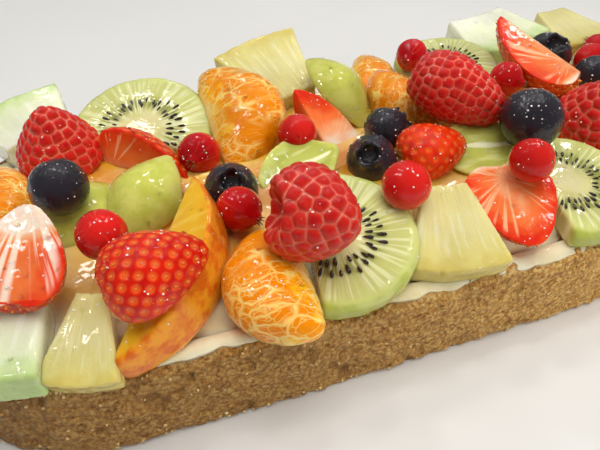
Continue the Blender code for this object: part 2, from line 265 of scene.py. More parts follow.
@dataclass(frozen=True)
class Flesh:
    """A fruit's finish: flesh coloured by depth below the skin, streaks along its fibres, and its skin."""

    name: str
    depth_colours: tuple[tuple[float, Colour], ...]
    streak: Colour = (1.0, 1.0, 1.0)
    streak_amount: float = 0.0
    streak_band: tuple[float, float] = (0.0, 1.0)
    streak_scale: float = 1.0
    streak_edges: tuple[float, float] = (0.52, 0.68)
    skin: Colour = (0.5, 0.5, 0.5)
    skin_mottle: Colour = (0.5, 0.5, 0.5)
    skin_scale: float = 8.0
    scatter: Colour = (1.0, 0.6, 0.3)
    scatter_weight: float = 0.6
    scatter_depth: float = 2.0
    roughness: float = 0.3
    specular: float = 0.06
    relief: float = 0.12
    glaze: Glaze = field(default_factory=Glaze)

    def pattern(self, graph: Graph, colour: Socket) -> Socket:
        """Adds what is special to one fruit to its flesh; plain flesh has nothing more."""
        return colour

    def outside(self, graph: Graph, colour: Socket) -> Socket:
        """Adds what is special to one fruit to its skin; plain skin has nothing more."""
        return colour

    @functools.cache
    def material(self) -> bpy.types.Material:
        """Builds the node tree once.

        Returns:
            The material.
        """
        graph = Graph(self.name)
        depth = graph.attribute("depth", number=True)
        grain = graph.attribute("grain")
        form = graph.attribute("form")
        wander = graph.span(graph.noise(form, 6.0, 3.0), 0.3, 0.7, -0.07, 0.07)
        colour = graph.ramp(graph.math("ADD", depth, wander), self.depth_colours)
        fibres = graph.noise(grain, self.streak_scale, 3.0)
        low, high = self.streak_band
        rise = graph.span(depth, low, low + 0.12)
        fall = graph.span(depth, high - 0.12, high, 1.0, 0.0)
        amount = graph.math("MULTIPLY", graph.math("MULTIPLY", rise, fall), self.streak_amount)
        streaks = graph.math("MULTIPLY", graph.span(fibres, *self.streak_edges), amount)
        colour = graph.blend(streaks, colour, self.streak)
        colour = self.pattern(graph, colour)
        mottle = graph.span(graph.noise(form, self.skin_scale, 4.0, 0.6), 0.38, 0.62)
        skin = graph.blend(mottle, self.skin, self.skin_mottle)
        colour = graph.blend(graph.attribute("skin", number=True), colour, self.outside(graph, skin))
        uneven = graph.span(graph.noise(graph.object_place, 45.0, 2.0), 0.3, 0.7, 0.9, 1.08)
        colour = graph.blend(1.0, colour, uneven, "MULTIPLY")
        fine = graph.math("ADD", fibres, graph.math("MULTIPLY", graph.noise(form, 40.0, 2.0), 0.6))
        graph.settle(
            Base_Color=colour,
            Roughness=self.roughness,
            Specular_IOR_Level=self.specular,
            Subsurface_Weight=self.scatter_weight,
            Subsurface_Radius=self.scatter,
            Subsurface_Scale=self.scatter_depth * MM,
            Normal=graph.bump(fine, self.relief),
        )
        self.glaze.coat(graph)
        return graph.material


@dataclass(frozen=True)
class MandarinFlesh(Flesh):
    """Juice sacs behind a thin skin, crossed by a net of pale threads."""

    thread: Colour = tint(252, 218, 126)

    def pattern(self, graph: Graph, colour: Socket) -> Socket:
        """Adds the net, strongest in patches."""
        form = graph.attribute("form")
        bent = graph.add("ShaderNodeVectorMath", operation="ADD")
        shake = graph.add("ShaderNodeTexNoise")
        graph.feed(shake.inputs["Vector"], form)
        graph.feed(shake.inputs["Scale"], 5.0)
        graph.feed(bent.inputs[0], graph.scaled(form, (9.5, 3.4, 9.5)))
        graph.feed(bent.inputs[1], graph.scaled(shake.outputs["Color"], (1.4, 1.4, 1.4)))
        wide = graph.span(graph.cells(bent.outputs[0], 1.0, "DISTANCE_TO_EDGE"), 0.0, 0.13, 1.0, 0.0)
        narrow = graph.span(graph.cells(bent.outputs[0], 2.3, "DISTANCE_TO_EDGE"), 0.0, 0.1, 0.7, 0.0)
        patches = graph.span(graph.noise(form, 3.2, 2.0), 0.34, 0.52)
        net = graph.math("MULTIPLY", graph.math("MAXIMUM", wide, narrow), patches)
        return graph.blend(graph.math("MULTIPLY", net, 0.85), colour, self.thread)


@dataclass(frozen=True)
class KiwiFlesh(Flesh):
    """Kiwi flesh: a greyer ring where the seeds sit, crossed by clear pale rays."""

    ring: Colour = tint(122, 128, 60)

    def pattern(self, graph: Graph, colour: Socket) -> Socket:
        """Adds the seed ring between the rays."""
        depth = graph.attribute("depth", number=True)
        rays = graph.span(graph.noise(graph.attribute("grain"), self.streak_scale, 2.0), 0.42, 0.58, 1.0, 0.0)
        inner = graph.span(depth, 0.38, 0.52)
        outer = graph.span(depth, 0.56, 0.7, 1.0, 0.0)
        amount = graph.math("MULTIPLY", graph.math("MULTIPLY", inner, outer), rays)
        return graph.blend(graph.math("MULTIPLY", amount, 0.7), colour, self.ring)


@dataclass(frozen=True)
class StrawberryFlesh(Flesh):
    """Strawberry flesh, with paler halos round the pits of the skin."""

    halo: Colour = tint(238, 104, 36)

    def outside(self, graph: Graph, colour: Socket) -> Socket:
        """Adds the halos."""
        return graph.blend(graph.attribute("pit", number=True), colour, self.halo)


@dataclass(frozen=True)
class Speck:
    """The finish of seeds, dried tufts, crumbs and the white specks that are painted glints: two colours in a fine mix.
    """

    name: str
    first: Colour
    second: Colour
    roughness: float = 0.35
    coat: float = 1.0
    scale: float = 900.0

    @functools.cache
    def material(self) -> bpy.types.Material:
        """A speckled shader, made once."""
        graph = Graph(self.name)
        mix = graph.span(graph.noise(graph.object_place, self.scale, 3.0), 0.35, 0.65)
        graph.settle(
            Base_Color=graph.blend(mix, self.first, self.second),
            Roughness=self.roughness,
            Coat_Weight=self.coat,
            Coat_Roughness=0.06,
            Normal=graph.bump(mix, 0.08),
        )
        return graph.material


@dataclass(frozen=True)
class Drop:
    """Clear beads of glaze that stand on the fruit."""

    name: str = "clear_glaze"

    def material(self) -> bpy.types.Material:
        """A clear wet shader with a faint cloudiness."""
        graph = Graph(self.name)
        cloud = graph.span(graph.noise(graph.object_place, 400.0, 2.0), 0.3, 0.7)
        graph.settle(
            Base_Color=graph.blend(cloud, tint(255, 255, 252), tint(250, 246, 236)),
            Roughness=0.04,
            Transmission_Weight=1.0,
            IOR=1.36,
            Normal=graph.bump(cloud, 0.02),
        )
        return graph.material


@dataclass(frozen=True)
class Shortcrust:
    """Baked crust: coarse golden-brown grains, with painted shade in the pores and crevices between them; it grows
    gradually darker towards the -X end, which is painted shade.
    """

    name: str = "shortcrust"
    brown: Colour = tint(218, 162, 84)
    dark: Colour = tint(142, 96, 44)
    tan: Colour = tint(246, 202, 120)
    pale: Colour = tint(250, 228, 168)
    # Painted shade, multiplied in more and more towards the -X end.
    painted_end_shade: Colour = tint(163, 149, 137)

    def material(self) -> bpy.types.Material:
        """Builds the crust's node tree.

        Returns:
            The new material.
        """
        graph = Graph(self.name)
        place = graph.object_place
        broad = graph.noise(place, 90.0, 3.0, 0.6)
        grain = graph.noise(place, 900.0, 3.0, 0.65)
        sand = graph.cells(place, 1000.0)
        stops = ((0.3, self.dark), (0.45, self.brown), (0.57, self.tan), (0.72, self.pale))
        colour = graph.ramp(grain, stops)
        # Painted shade: darker in the crevices between sand grains, where the bump sinks the surface.
        colour = graph.blend(graph.span(sand, 0.35, 0.8, 0.0, 0.5), colour, self.dark)
        colour = graph.blend(graph.span(broad, 0.5, 0.7, 0.0, 0.35), colour, self.tan)
        colour = graph.blend(graph.span(broad, 0.46, 0.3, 0.0, 0.3), colour, self.dark)
        worn = graph.attribute("worn", number=True)
        rubbed = graph.math("MULTIPLY", worn, graph.span(grain, 0.38, 0.6, 0.1, 0.9))
        colour = graph.blend(rubbed, colour, self.pale)
        # Painted shade: the "hollow" mark darkens the pores and the sunken spots of the wall.
        hollow = graph.attribute("hollow", number=True)
        colour = graph.blend(graph.math("MULTIPLY", hollow, 0.6), colour, self.dark)
        # Painted shade: the crust is multiplied darker towards the -X end, as if less light reached it.
        along = graph.add("ShaderNodeSeparateXYZ")
        graph.feed(along.inputs[0], place)
        end = graph.span(along.outputs[0], 0.1, -0.13)
        colour = graph.blend(graph.math("MULTIPLY", end, 0.8), colour, self.painted_end_shade, "MULTIPLY")
        height = graph.math("SUBTRACT", grain, graph.math("MULTIPLY", sand, 0.5))
        graph.settle(
            Base_Color=colour,
            Roughness=graph.span(grain, 0.3, 0.7, 0.5, 0.78),
            Specular_IOR_Level=0.3,
            Normal=graph.bump(height, 0.7),
        )
        return graph.material


@dataclass(frozen=True)
class PastryCream:
    """Pale set cream; where the glaze has pooled between the fruit it turns a deep clear gold."""

    name: str = "pastry_cream"
    ivory: Colour = tint(248, 238, 206)
    buff: Colour = tint(240, 222, 176)
    gold: Colour = tint(228, 174, 40)
    rose: Colour = tint(216, 134, 34)
    glaze: Glaze = field(default_factory=lambda: Glaze(drop_height=0.2, wave_scale=180.0))

    def material(self) -> bpy.types.Material:
        """Builds the cream's node tree.

        Returns:
            The new material.
        """
        graph = Graph(self.name)
        place = graph.object_place
        soft = graph.noise(place, 90.0, 3.0, 0.55)
        colour = graph.ramp(soft, ((0.35, self.ivory), (0.7, self.buff)))
        juice = graph.blend(graph.span(graph.noise(place, 30.0, 2.0), 0.48, 0.62), self.gold, self.rose)
        clouded = graph.span(soft, 0.2, 0.6, 0.75, 1.0)
        pooled = graph.math("MULTIPLY", graph.attribute("pool", number=True), clouded)
        colour = graph.blend(pooled, colour, juice)
        graph.settle(
            Base_Color=colour,
            Roughness=0.35,
            Subsurface_Weight=0.5,
            Subsurface_Radius=(1.0, 0.8, 0.4),
            Subsurface_Scale=2.0 * MM,
            Normal=graph.bump(graph.noise(place, 330.0, 3.0), 0.3),
        )
        self.glaze.coat(graph)
        return graph.material


YELLOW_RED = (1.0, 0.45, 0.2)
GREENISH = (0.85, 1.0, 0.35)

KIWI = KiwiFlesh(
    name="glazed_kiwi",
    depth_colours=(
        (0.0, tint(178, 186, 88)), (0.1, tint(202, 206, 128)), (0.34, tint(198, 200, 126)),
        (0.55, tint(180, 182, 100)), (0.68, tint(206, 202, 138)), (0.8, tint(220, 214, 156)),
        (1.0, tint(228, 222, 172)),
    ),
    streak=tint(234, 238, 190), streak_amount=0.68, streak_band=(0.06, 0.76), streak_edges=(0.46, 0.62),
    skin=tint(150, 150, 60), skin_mottle=tint(176, 184, 84),
    scatter=GREENISH, scatter_weight=0.7, scatter_depth=2.6, relief=0.1,
)
MANDARIN = MandarinFlesh(
    name="glazed_mandarin",
    depth_colours=(
        (0.0, tint(236, 138, 0)), (0.4, tint(240, 152, 0)), (0.75, tint(243, 172, 20)), (1.0, tint(250, 214, 130)),
    ),
    streak=tint(252, 192, 30), streak_amount=0.75, streak_scale=1.1, streak_edges=(0.5, 0.62),
    scatter=YELLOW_RED, scatter_weight=0.5, scatter_depth=2.0, relief=0.35,
    glaze=Glaze(drop_scale=480.0, drop_height=0.45),
)
PINEAPPLE = Flesh(
    name="glazed_pineapple",
    depth_colours=(
        (0.0, tint(208, 192, 108)), (0.2, tint(216, 206, 132)), (0.5, tint(222, 214, 154)), (1.0, tint(216, 206, 140)),
    ),
    streak=tint(234, 230, 190), streak_amount=0.55, streak_band=(0.12, 0.7), streak_edges=(0.5, 0.68),
    scatter=(1.0, 0.85, 0.35), scatter_weight=0.8, scatter_depth=3.6, relief=0.2,
)
MELON = Flesh(
    name="glazed_melon",
    depth_colours=(
        (0.0, tint(182, 206, 134)), (0.14, tint(206, 222, 164)), (0.3, tint(226, 232, 196)), (1.0, tint(236, 238, 218)),
    ),
    streak=tint(248, 250, 236), streak_amount=0.4, streak_band=(0.2, 1.0),
    scatter=(0.9, 1.0, 0.6), scatter_weight=0.75, scatter_depth=3.2, relief=0.12,
)
PEACH = Flesh(
    name="glazed_peach",
    depth_colours=(
        (0.0, tint(236, 170, 24)), (0.3, tint(244, 190, 40)), (0.75, tint(240, 186, 62)), (1.0, tint(222, 130, 44)),
    ),
    streak=tint(250, 214, 92), streak_amount=0.5,
    skin=tint(238, 158, 36), skin_mottle=tint(218, 104, 20), skin_scale=15.0,
    scatter=YELLOW_RED, scatter_weight=0.35, scatter_depth=1.6, relief=0.2,
)
GRAPE = Flesh(
    name="glazed_grape",
    depth_colours=(
        (0.0, tint(214, 220, 122)), (0.14, tint(200, 206, 106)), (0.3, tint(182, 188, 88)),
        (0.65, tint(196, 202, 104)), (0.85, tint(236, 240, 192)), (1.0, tint(244, 246, 208)),
    ),
    streak=tint(228, 232, 164), streak_amount=0.5,
    skin=tint(192, 196, 88), skin_mottle=tint(210, 210, 112), skin_scale=5.0,
    scatter=GREENISH, scatter_weight=0.85, scatter_depth=3.5, roughness=0.2, relief=0.05,
)
STRAWBERRY = StrawberryFlesh(
    name="glazed_strawberry",
    depth_colours=(
        (0.0, tint(224, 44, 14)), (0.12, tint(232, 78, 28)), (0.45, tint(238, 120, 58)),
        (0.75, tint(242, 172, 124)), (1.0, tint(244, 222, 202)),
    ),
    streak=tint(250, 200, 156), streak_amount=0.7, streak_band=(0.02, 1.0), streak_edges=(0.52, 0.66),
    skin=tint(206, 26, 2), skin_mottle=tint(190, 16, 4),
    scatter=(1.0, 0.3, 0.15), scatter_weight=0.55, scatter_depth=2.0, relief=0.15,
)
PALE_STRAWBERRY = replace(
    STRAWBERRY, name="glazed_pale_strawberry",
    streak=tint(255, 232, 212), streak_amount=0.9, streak_edges=(0.47, 0.6),
)
ORANGE_STRAWBERRY = replace(
    STRAWBERRY, name="glazed_orange_strawberry", skin=tint(226, 62, 14), skin_mottle=tint(214, 38, 8),
)
RASPBERRY = Flesh(
    name="glazed_raspberry",
    depth_colours=(
        (0.0, tint(240, 148, 124)), (0.13, tint(226, 92, 72)), (0.34, tint(206, 40, 28)), (1.0, tint(200, 26, 22)),
    ),
    skin=tint(178, 12, 18), skin_mottle=tint(216, 50, 34),
    scatter=(1.0, 0.2, 0.15), scatter_weight=0.35, scatter_depth=0.9, roughness=0.3, relief=0.06,
)
REDCURRANT = Flesh(
    name="glazed_redcurrant",
    # Lighter towards the bottom of the berry: a painted glow of light shining through it.
    depth_colours=((0.0, tint(176, 10, 14)), (0.6, tint(198, 20, 18)), (1.0, tint(210, 34, 26))),
    streak=tint(226, 84, 72), streak_amount=0.35, streak_edges=(0.6, 0.7),
    scatter=(1.0, 0.16, 0.1), scatter_weight=0.7, scatter_depth=2.5, roughness=0.12, relief=0.02,
)
BLUEBERRY = Flesh(
    name="glazed_blueberry",
    depth_colours=((0.0, tint(12, 9, 14)), (1.0, tint(34, 30, 38))),
    streak=tint(78, 74, 90), streak_amount=0.6, streak_edges=(0.5, 0.72),
    scatter_weight=0.0, roughness=0.4, specular=0.3, relief=0.1,
    glaze=Glaze(drop_scale=700.0, wave_scale=420.0, drop_height=0.5),
)
KIWI_SEED = Speck("kiwi_seed", tint(22, 18, 14), tint(58, 44, 32), roughness=0.25)
STRAWBERRY_SEED = Speck("strawberry_seed", tint(224, 98, 30), tint(238, 148, 62))
DRIED_TUFT = Speck("dried_tuft", tint(70, 48, 30), tint(128, 96, 58), roughness=0.7, coat=0.5)
# Opaque white specks that stand for tiny glints: painted highlights on the glaze.
GLINT_SPECK = Speck("painted_glint_speck", tint(255, 255, 250), tint(246, 240, 228), roughness=0.15)
CRUMB = Speck("crumb", tint(190, 146, 86), tint(232, 206, 150), roughness=0.8, coat=0.0)


# Shapes


class Body:
    """A mesh in millimetres whose points are moved together."""

    def __init__(self, mesh: bpy.types.Mesh) -> None:
        """Takes over the mesh."""
        self.mesh = mesh

    @property
    def points(self) -> np.ndarray:
        """The mesh's points, as an (n, 3) array."""
        flat = np.empty(len(self.mesh.vertices) * 3)
        self.mesh.vertices.foreach_get("co", flat)
        return flat.reshape(-1, 3)

    @points.setter
    def points(self, moved: np.ndarray) -> None:
        """Moves the mesh's points."""
        self.mesh.vertices.foreach_set("co", moved.ravel())
        self.mesh.update()

    @property
    def normals(self) -> np.ndarray:
        """The mesh's outward directions at its points."""
        flat = np.empty(len(self.mesh.vertices) * 3)
        self.mesh.vertices.foreach_get("normal", flat)
        return flat.reshape(-1, 3)

    def tag(self, name: str, values: np.ndarray) -> None:
        """Stores a number or a vector at every point under that name, unless the mesh has it already."""
        if name in self.mesh.attributes:
            return
        vector = values.ndim == 2
        layer = self.mesh.attributes.new(name, "FLOAT_VECTOR" if vector else "FLOAT", "POINT")
        layer.data.foreach_set("vector" if vector else "value", values.astype(np.float32).ravel())


def mesh_of(bm: bmesh.types.BMesh, name: str = "work") -> bpy.types.Mesh:
    """Turns a bmesh into a mesh and frees it."""
    mesh = bpy.data.meshes.new(name)
    bm.to_mesh(mesh)
    bm.free()
    return mesh


def evaluated(mesh: bpy.types.Mesh, dress: Callable[[bpy.types.Object], None]) -> bpy.types.Mesh:
    """Runs modifiers on a mesh.

    Args:
        mesh: the mesh, which is used up.
        dress: adds the modifiers to the object that it is given.

    Returns:
        A new plain mesh.
    """
    holder = bpy.data.objects.new("holder", mesh)
    bpy.context.scene.collection.objects.link(holder)
    dress(holder)
    graph = bpy.context.evaluated_depsgraph_get()
    made = bpy.data.meshes.new_from_object(
        holder.evaluated_get(graph), preserve_all_data_layers=True, depsgraph=graph
    )
    holder.modifiers.clear()
    bpy.data.objects.remove(holder)
    bpy.data.meshes.remove(mesh)
    return made


def joined(meshes: Sequence[bpy.types.Mesh]) -> bpy.types.Mesh:
    """One mesh of all that are given, with their attributes; the given ones are used up."""
    holders = [bpy.data.objects.new("holder", mesh) for mesh in meshes]
    for holder in holders:
        bpy.context.scene.collection.objects.link(holder)
    with bpy.context.temp_override(
        active_object=holders[0], object=holders[0],
        selected_objects=holders, selected_editable_objects=holders,
    ):
        bpy.ops.object.join()
    mesh = holders[0].data
    bpy.data.objects.remove(holders[0])
    return mesh


def refined(bm: bmesh.types.BMesh, voxel: float, rounds: int) -> Body:
    """Rebuilds a closed solid as an even, fine mesh with its edges eased.

    Args:
        bm: the solid, which is used up.
        voxel: the new mesh's spacing.
        rounds: how many times it is smoothed.

    Returns:
        The fine body.
    """

    def dress(holder: bpy.types.Object) -> None:
        """Adds the remesh and the smoothing."""
        remesh = holder.modifiers.new("remesh", "REMESH")
        remesh.mode = "VOXEL"
        remesh.voxel_size = voxel
        smooth = holder.modifiers.new("smooth", "SMOOTH")
        smooth.factor = 0.5
        smooth.iterations = rounds

    return Body(evaluated(mesh_of(bm), dress))


def ball(across: int, down: int) -> bmesh.types.BMesh:
    """A unit ball of quads with its poles on Z."""
    bm = bmesh.new()
    bmesh.ops.create_uvsphere(bm, u_segments=across, v_segments=down, radius=1.0)
    return bm


def reshape(bm: bmesh.types.BMesh, rule: Callable[[float, float, float], Vector]) -> bmesh.types.BMesh:
    """Moves every point by a rule and gives the bmesh back."""
    for vert in bm.verts:
        vert.co = rule(*vert.co)
    return bm


def cut_away(bm: bmesh.types.BMesh, point: Colour, normal: Colour) -> bmesh.types.BMesh:
    """Removes what lies on the side that normal points to, and closes the cut."""
    geometry = bm.verts[:] + bm.edges[:] + bm.faces[:]
    cut = bmesh.ops.bisect_plane(
        bm, geom=geometry, dist=1e-5, plane_co=point, plane_no=normal, clear_outer=True
    )
    edges = [part for part in cut["geom_cut"] if isinstance(part, bmesh.types.BMEdge)]
    bmesh.ops.holes_fill(bm, edges=edges, sides=0)
    return bm


def eased_profile(knots: Sequence[tuple[float, float]], per_span: int) -> list[tuple[float, float]]:
    """A smooth curve through (radius, height) knots.

    Args:
        knots: the points that it passes through.
        per_span: how many steps it takes between two of them.

    Returns:
        The points along it, ends included.
    """
    ends = [knots[0], *knots, knots[-1]]
    curve = []
    for before, start, end, after in zip(ends, ends[1:], ends[2:], ends[3:]):
        for step in range(per_span):
            t = step / per_span
            weights = (
                (-t + 2 * t**2 - t**3) / 2, (2 - 5 * t**2 + 3 * t**3) / 2,
                (t + 4 * t**2 - 3 * t**3) / 2, (t**3 - t**2) / 2,
            )
            around = (before, start, end, after)
            curve.append(tuple(sum(w * knot[axis] for w, knot in zip(weights, around)) for axis in (0, 1)))
    return curve + [knots[-1]]


def turned(profile: Sequence[tuple[float, float]], around: int) -> bmesh.types.BMesh:
    """A solid turned about Z from (radius, height) points that run from its top pole to its bottom pole."""
    bm = bmesh.new()
    top = bm.verts.new((0, 0, profile[0][1]))
    bottom = bm.verts.new((0, 0, profile[-1][1]))
    rings = []
    for radius, height in profile[1:-1]:
        angles = (math.tau * step / around for step in range(around))
        rings.append([bm.verts.new((radius * math.cos(a), radius * math.sin(a), height)) for a in angles])
    for i in range(around):
        j = (i + 1) % around
        bm.faces.new((top, rings[0][i], rings[0][j]))
        bm.faces.new((bottom, rings[-1][j], rings[-1][i]))
        for upper, lower in zip(rings, rings[1:]):
            bm.faces.new((upper[i], lower[i], lower[j], upper[j]))
    return bm


# Geometry Nodes


class NodeTree:
    """A Geometry Nodes tree under construction, with named inputs."""

    def __init__(self, name: str) -> None:
        """Starts a tree that takes and gives geometry."""
        self.tree = bpy.data.node_groups.new(name, "GeometryNodeTree")
        self.tree.interface.new_socket("Geometry", in_out="INPUT", socket_type="NodeSocketGeometry")
        self.tree.interface.new_socket("Geometry", in_out="OUTPUT", socket_type="NodeSocketGeometry")
        self.identifiers: dict[str, str] = {}
        self.inputs = self.tree.nodes.new("NodeGroupInput")

    def input(self, name: str, kind: str) -> Socket:
        """Adds a named input and gives its socket."""
        made = self.tree.interface.new_socket(name, in_out="INPUT", socket_type=kind)
        self.identifiers[name] = made.identifier
        return self.inputs.outputs[name]

    def add(
        self, kind: str, inputs: dict[object, object] | None = None, **settings: object
    ) -> bpy.types.Node:
        """Adds a node, sets its properties, then links or sets its inputs."""
        node = self.tree.nodes.new(kind)
        for key, value in settings.items():
            setattr(node, key, value)
        for key, value in (inputs or {}).items():
            if isinstance(value, bpy.types.NodeSocket):
                self.tree.links.new(value, node.inputs[key])
            else:
                node.inputs[key].default_value = value
        return node

    def math(self, operation: str, first: object, second: object = 0.0) -> Socket:
        """One step of arithmetic."""
        return self.add("ShaderNodeMath", {0: first, 1: second}, operation=operation).outputs[0]

    def named(self, name: str, data_type: str = "FLOAT") -> Socket:
        """Reads a named attribute of the points or faces."""
        return self.add("GeometryNodeInputNamedAttribute", {"Name": name}, data_type=data_type).outputs[0]

    def close(self, instances: Socket, material: Socket) -> None:
        """Ends the tree: real geometry, smooth, in its material."""
        real = self.add("GeometryNodeRealizeInstances", {"Geometry": instances})
        smooth = self.add("GeometryNodeSetShadeSmooth", {"Geometry": real.outputs[0]})
        dressed = self.add("GeometryNodeSetMaterial", {"Geometry": smooth.outputs[0], "Material": material})
        self.add("NodeGroupOutput", {0: dressed.outputs[0]})

    def run(self, mesh: bpy.types.Mesh, **values: object) -> bpy.types.Mesh:
        """Runs the tree on a mesh, which is used up.

        Args:
            mesh: what the tree takes.
            values: its inputs by name.

        Returns:
            The new plain mesh.
        """

        def dress(holder: bpy.types.Object) -> None:
            """Adds the tree as a modifier and sets its inputs."""
            modifier = holder.modifiers.new("nodes", "NODES")
            modifier.node_group = self.tree
            for name, value in values.items():
                modifier[self.identifiers[name]] = value

        return evaluated(mesh, dress)


class Sprinkle(NodeTree):
    """Sets a small tapered body on every point of a mesh.

    The points carry "aim", the body's long direction, and "bulk", its scale.
    """

    def __init__(self) -> None:
        """Builds the tree."""
        super().__init__("sprinkle")
        length = self.input("Length", "NodeSocketFloat")
        width = self.input("Width", "NodeSocketFloat")
        thickness = self.input("Thickness", "NodeSocketFloat")
        taper = self.input("Taper", "NodeSocketFloat")
        detail = self.input("Detail", "NodeSocketInt")
        material = self.input("Material", "NodeSocketMaterial")
        pebble = self.add("GeometryNodeMeshIcoSphere", {"Radius": 1.0, "Subdivisions": detail})
        place = self.add("ShaderNodeSeparateXYZ", {0: self.add("GeometryNodeInputPosition").outputs[0]})
        along = place.outputs[2]
        narrow = self.math("SUBTRACT", 1.0, self.math("MULTIPLY", along, taper))
        shaped = self.add("ShaderNodeCombineXYZ", {
            0: self.math("MULTIPLY", self.math("MULTIPLY", place.outputs[0], width), narrow),
            1: self.math("MULTIPLY", self.math("MULTIPLY", place.outputs[1], thickness), narrow),
            2: self.math("MULTIPLY", along, length),
        })
        marked = self.add("GeometryNodeStoreNamedAttribute", {
            "Geometry": pebble.outputs[0], "Name": "depth",
            "Value": self.math("MULTIPLY", self.math("ADD", along, 1.0), 0.5),
        }, data_type="FLOAT", domain="POINT")
        pebbled = self.add("GeometryNodeSetPosition", {
            "Geometry": marked.outputs[0], "Position": shaped.outputs[0],
        })
        aim = self.named("aim", "FLOAT_VECTOR")
        facing = self.add("FunctionNodeAlignRotationToVector", {"Vector": aim}, axis="Z")
        placed = self.add("GeometryNodeInstanceOnPoints", {
            "Points": self.inputs.outputs["Geometry"], "Instance": pebbled.outputs[0],
            "Rotation": facing.outputs[0], "Scale": self.named("bulk"),
        })
        self.close(placed.outputs[0], material)

    def grow(
        self, spots: Spots, finish: Flesh | Speck | Drop, size: tuple[float, float, float], taper: float
    ) -> bpy.types.Mesh:
        """Grows bodies on spots.

        Args:
            spots: where they sit, where they aim and how large each is.
            finish: what they are made of.
            size: half their length, width and thickness.
            taper: how much narrower the aimed end is.

        Returns:
            One mesh of them all.
        """
        return self.run(
            spots.mesh(), Length=size[0], Width=size[1], Thickness=size[2], Taper=taper,
            Detail=SEED_DETAIL, Material=finish.material(),
        )


class Grit(NodeTree):
    """Strews angular grains over a mesh, thickest where its "grit" attribute is high."""

    def __init__(self) -> None:
        """Builds the tree."""
        super().__init__("grit")
        density = self.input("Density", "NodeSocketFloat")
        least = self.input("Least", "NodeSocketFloat")
        most = self.input("Most", "NodeSocketFloat")
        seed = self.input("Seed", "NodeSocketInt")
        material = self.input("Material", "NodeSocketMaterial")
        strewn = self.add("GeometryNodeDistributePointsOnFaces", {
            "Mesh": self.inputs.outputs["Geometry"], "Seed": seed,
            "Density": self.math("MULTIPLY", density, self.named("grit")),
        })
        grain = self.add("GeometryNodeMeshIcoSphere", {"Radius": 1.0, "Subdivisions": 1})
        full_turn = (math.tau, math.tau, math.tau)
        spin = self.add("FunctionNodeRandomValue", {1: full_turn, "Seed": seed}, data_type="FLOAT_VECTOR")
        squash = self.add("FunctionNodeRandomValue", {"Seed": seed}, data_type="FLOAT_VECTOR")
        for socket, amount in ((0, least), (1, most)):
            spread = self.add("ShaderNodeCombineXYZ", {0: amount, 1: amount, 2: amount})
            self.tree.links.new(spread.outputs[0], squash.inputs[socket])
        placed = self.add("GeometryNodeInstanceOnPoints", {
            "Points": strewn.outputs[0], "Instance": grain.outputs[0],
            "Rotation": spin.outputs[0], "Scale": squash.outputs[0],
        })
        self.close(placed.outputs[0], material)


@functools.cache
def sprinkler() -> Sprinkle:
    """The one tree that sets small bodies on spots."""
    return Sprinkle()


@dataclass
class Spots:
    """Places for small bodies: where each sits, where it aims and how large it is."""

    places: np.ndarray = field(default_factory=lambda: np.zeros((0, 3)))
    aims: np.ndarray = field(default_factory=lambda: np.zeros((0, 3)))
    bulks: np.ndarray = field(default_factory=lambda: np.zeros(0))

    def joined(self, other: Spots) -> Spots:
        """These spots and the other ones."""
        return Spots(
            np.vstack((self.places, other.places)),
            np.vstack((self.aims, other.aims)),
            np.concatenate((self.bulks, other.bulks)),
        )

    def mesh(self) -> bpy.types.Mesh:
        """A mesh of loose points that carries the aims and the scales."""
        body = Body(bpy.data.meshes.new("spots"))
        body.mesh.vertices.add(len(self.places))
        body.points = self.places
        body.tag("aim", self.aims)
        body.tag("bulk", self.bulks)
        return body.mesh


# Fruit


class Kind(Enum):
    """The forms in which fruit is cut."""

    REDCURRANT = "redcurrant"
    BLUEBERRY = "blueberry"
    RASPBERRY = "raspberry"
    STRAWBERRY_HALF = "strawberry_half"
    STRAWBERRY_WEDGE = "strawberry_wedge"
    GRAPE_HALF = "grape_half"
    MANDARIN = "mandarin"
    KIWI_SLICE = "kiwi_slice"
    KIWI_PIECE = "kiwi_piece"
    PINEAPPLE_WEDGE = "pineapple_wedge"
    PINEAPPLE_CHUNK = "pineapple_chunk"
    MELON_WEDGE = "melon_wedge"
    MELON_CHUNK = "melon_chunk"
    PEACH_WEDGE = "peach_wedge"


@dataclass(frozen=True)
class Move:
    """A turn, a scale and a shift, made in that order."""

    turn: np.ndarray
    scale: float
    shift: np.ndarray

    def points(self, points: np.ndarray) -> np.ndarray:
        """Moves points."""
        return self.scale * points @ self.turn.T + self.shift

    def spots(self, spots: Spots) -> Spots:
        """Moves spots, their aims and their scales."""
        return Spots(self.points(spots.places), spots.aims @ self.turn.T, spots.bulks * self.scale)


@dataclass(frozen=True)
class Placing:
    """How one piece lies: its heading, then a lean towards a compass direction; roll comes first."""

    node: str
    kind: Kind
    size: float
    heading: float
    lean: float
    towards: float
    roll: float

    def turn(self) -> np.ndarray:
        """The piece's whole turn."""
        aim = math.radians(self.towards)
        leaned = Matrix.Rotation(math.radians(self.lean), 3, Vector((-math.sin(aim), math.cos(aim), 0.0)))
        headed = Matrix.Rotation(math.radians(self.heading), 3, "Z")
        rolled = Matrix.Rotation(math.radians(self.roll), 3, "X")
        return np.array(leaned @ headed @ rolled)

    def fitted(self, points: np.ndarray) -> Move:
        """The move that lays a body, built about its own middle, in the box of its CAD node."""
        turn = self.turn()
        low, high = (np.array(corner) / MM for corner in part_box(self.node))
        lying = points @ turn.T
        least, most = lying.min(axis=0), lying.max(axis=0)
        nudge = NUDGES.get(self.node, Nudge())
        scale = SWELL * nudge.scale * float(np.prod((high - low) / (most - least)) ** (1 / 3))
        return Move(turn, scale, (low + high) / 2 + nudge.shift - scale * (least + most) / 2)


@dataclass(frozen=True)
class Nudge:
    """How the glazed piece departs from its CAD box: a scale, and a shift of its middle."""

    scale: float = 1.0
    shift: Colour = (0.0, 0.0, 0.0)


@dataclass
class Traits:
    """What a finish reads at each point: fibre coordinates, depth below the skin, and share of skin."""

    grain: np.ndarray
    depth: np.ndarray
    skin: np.ndarray


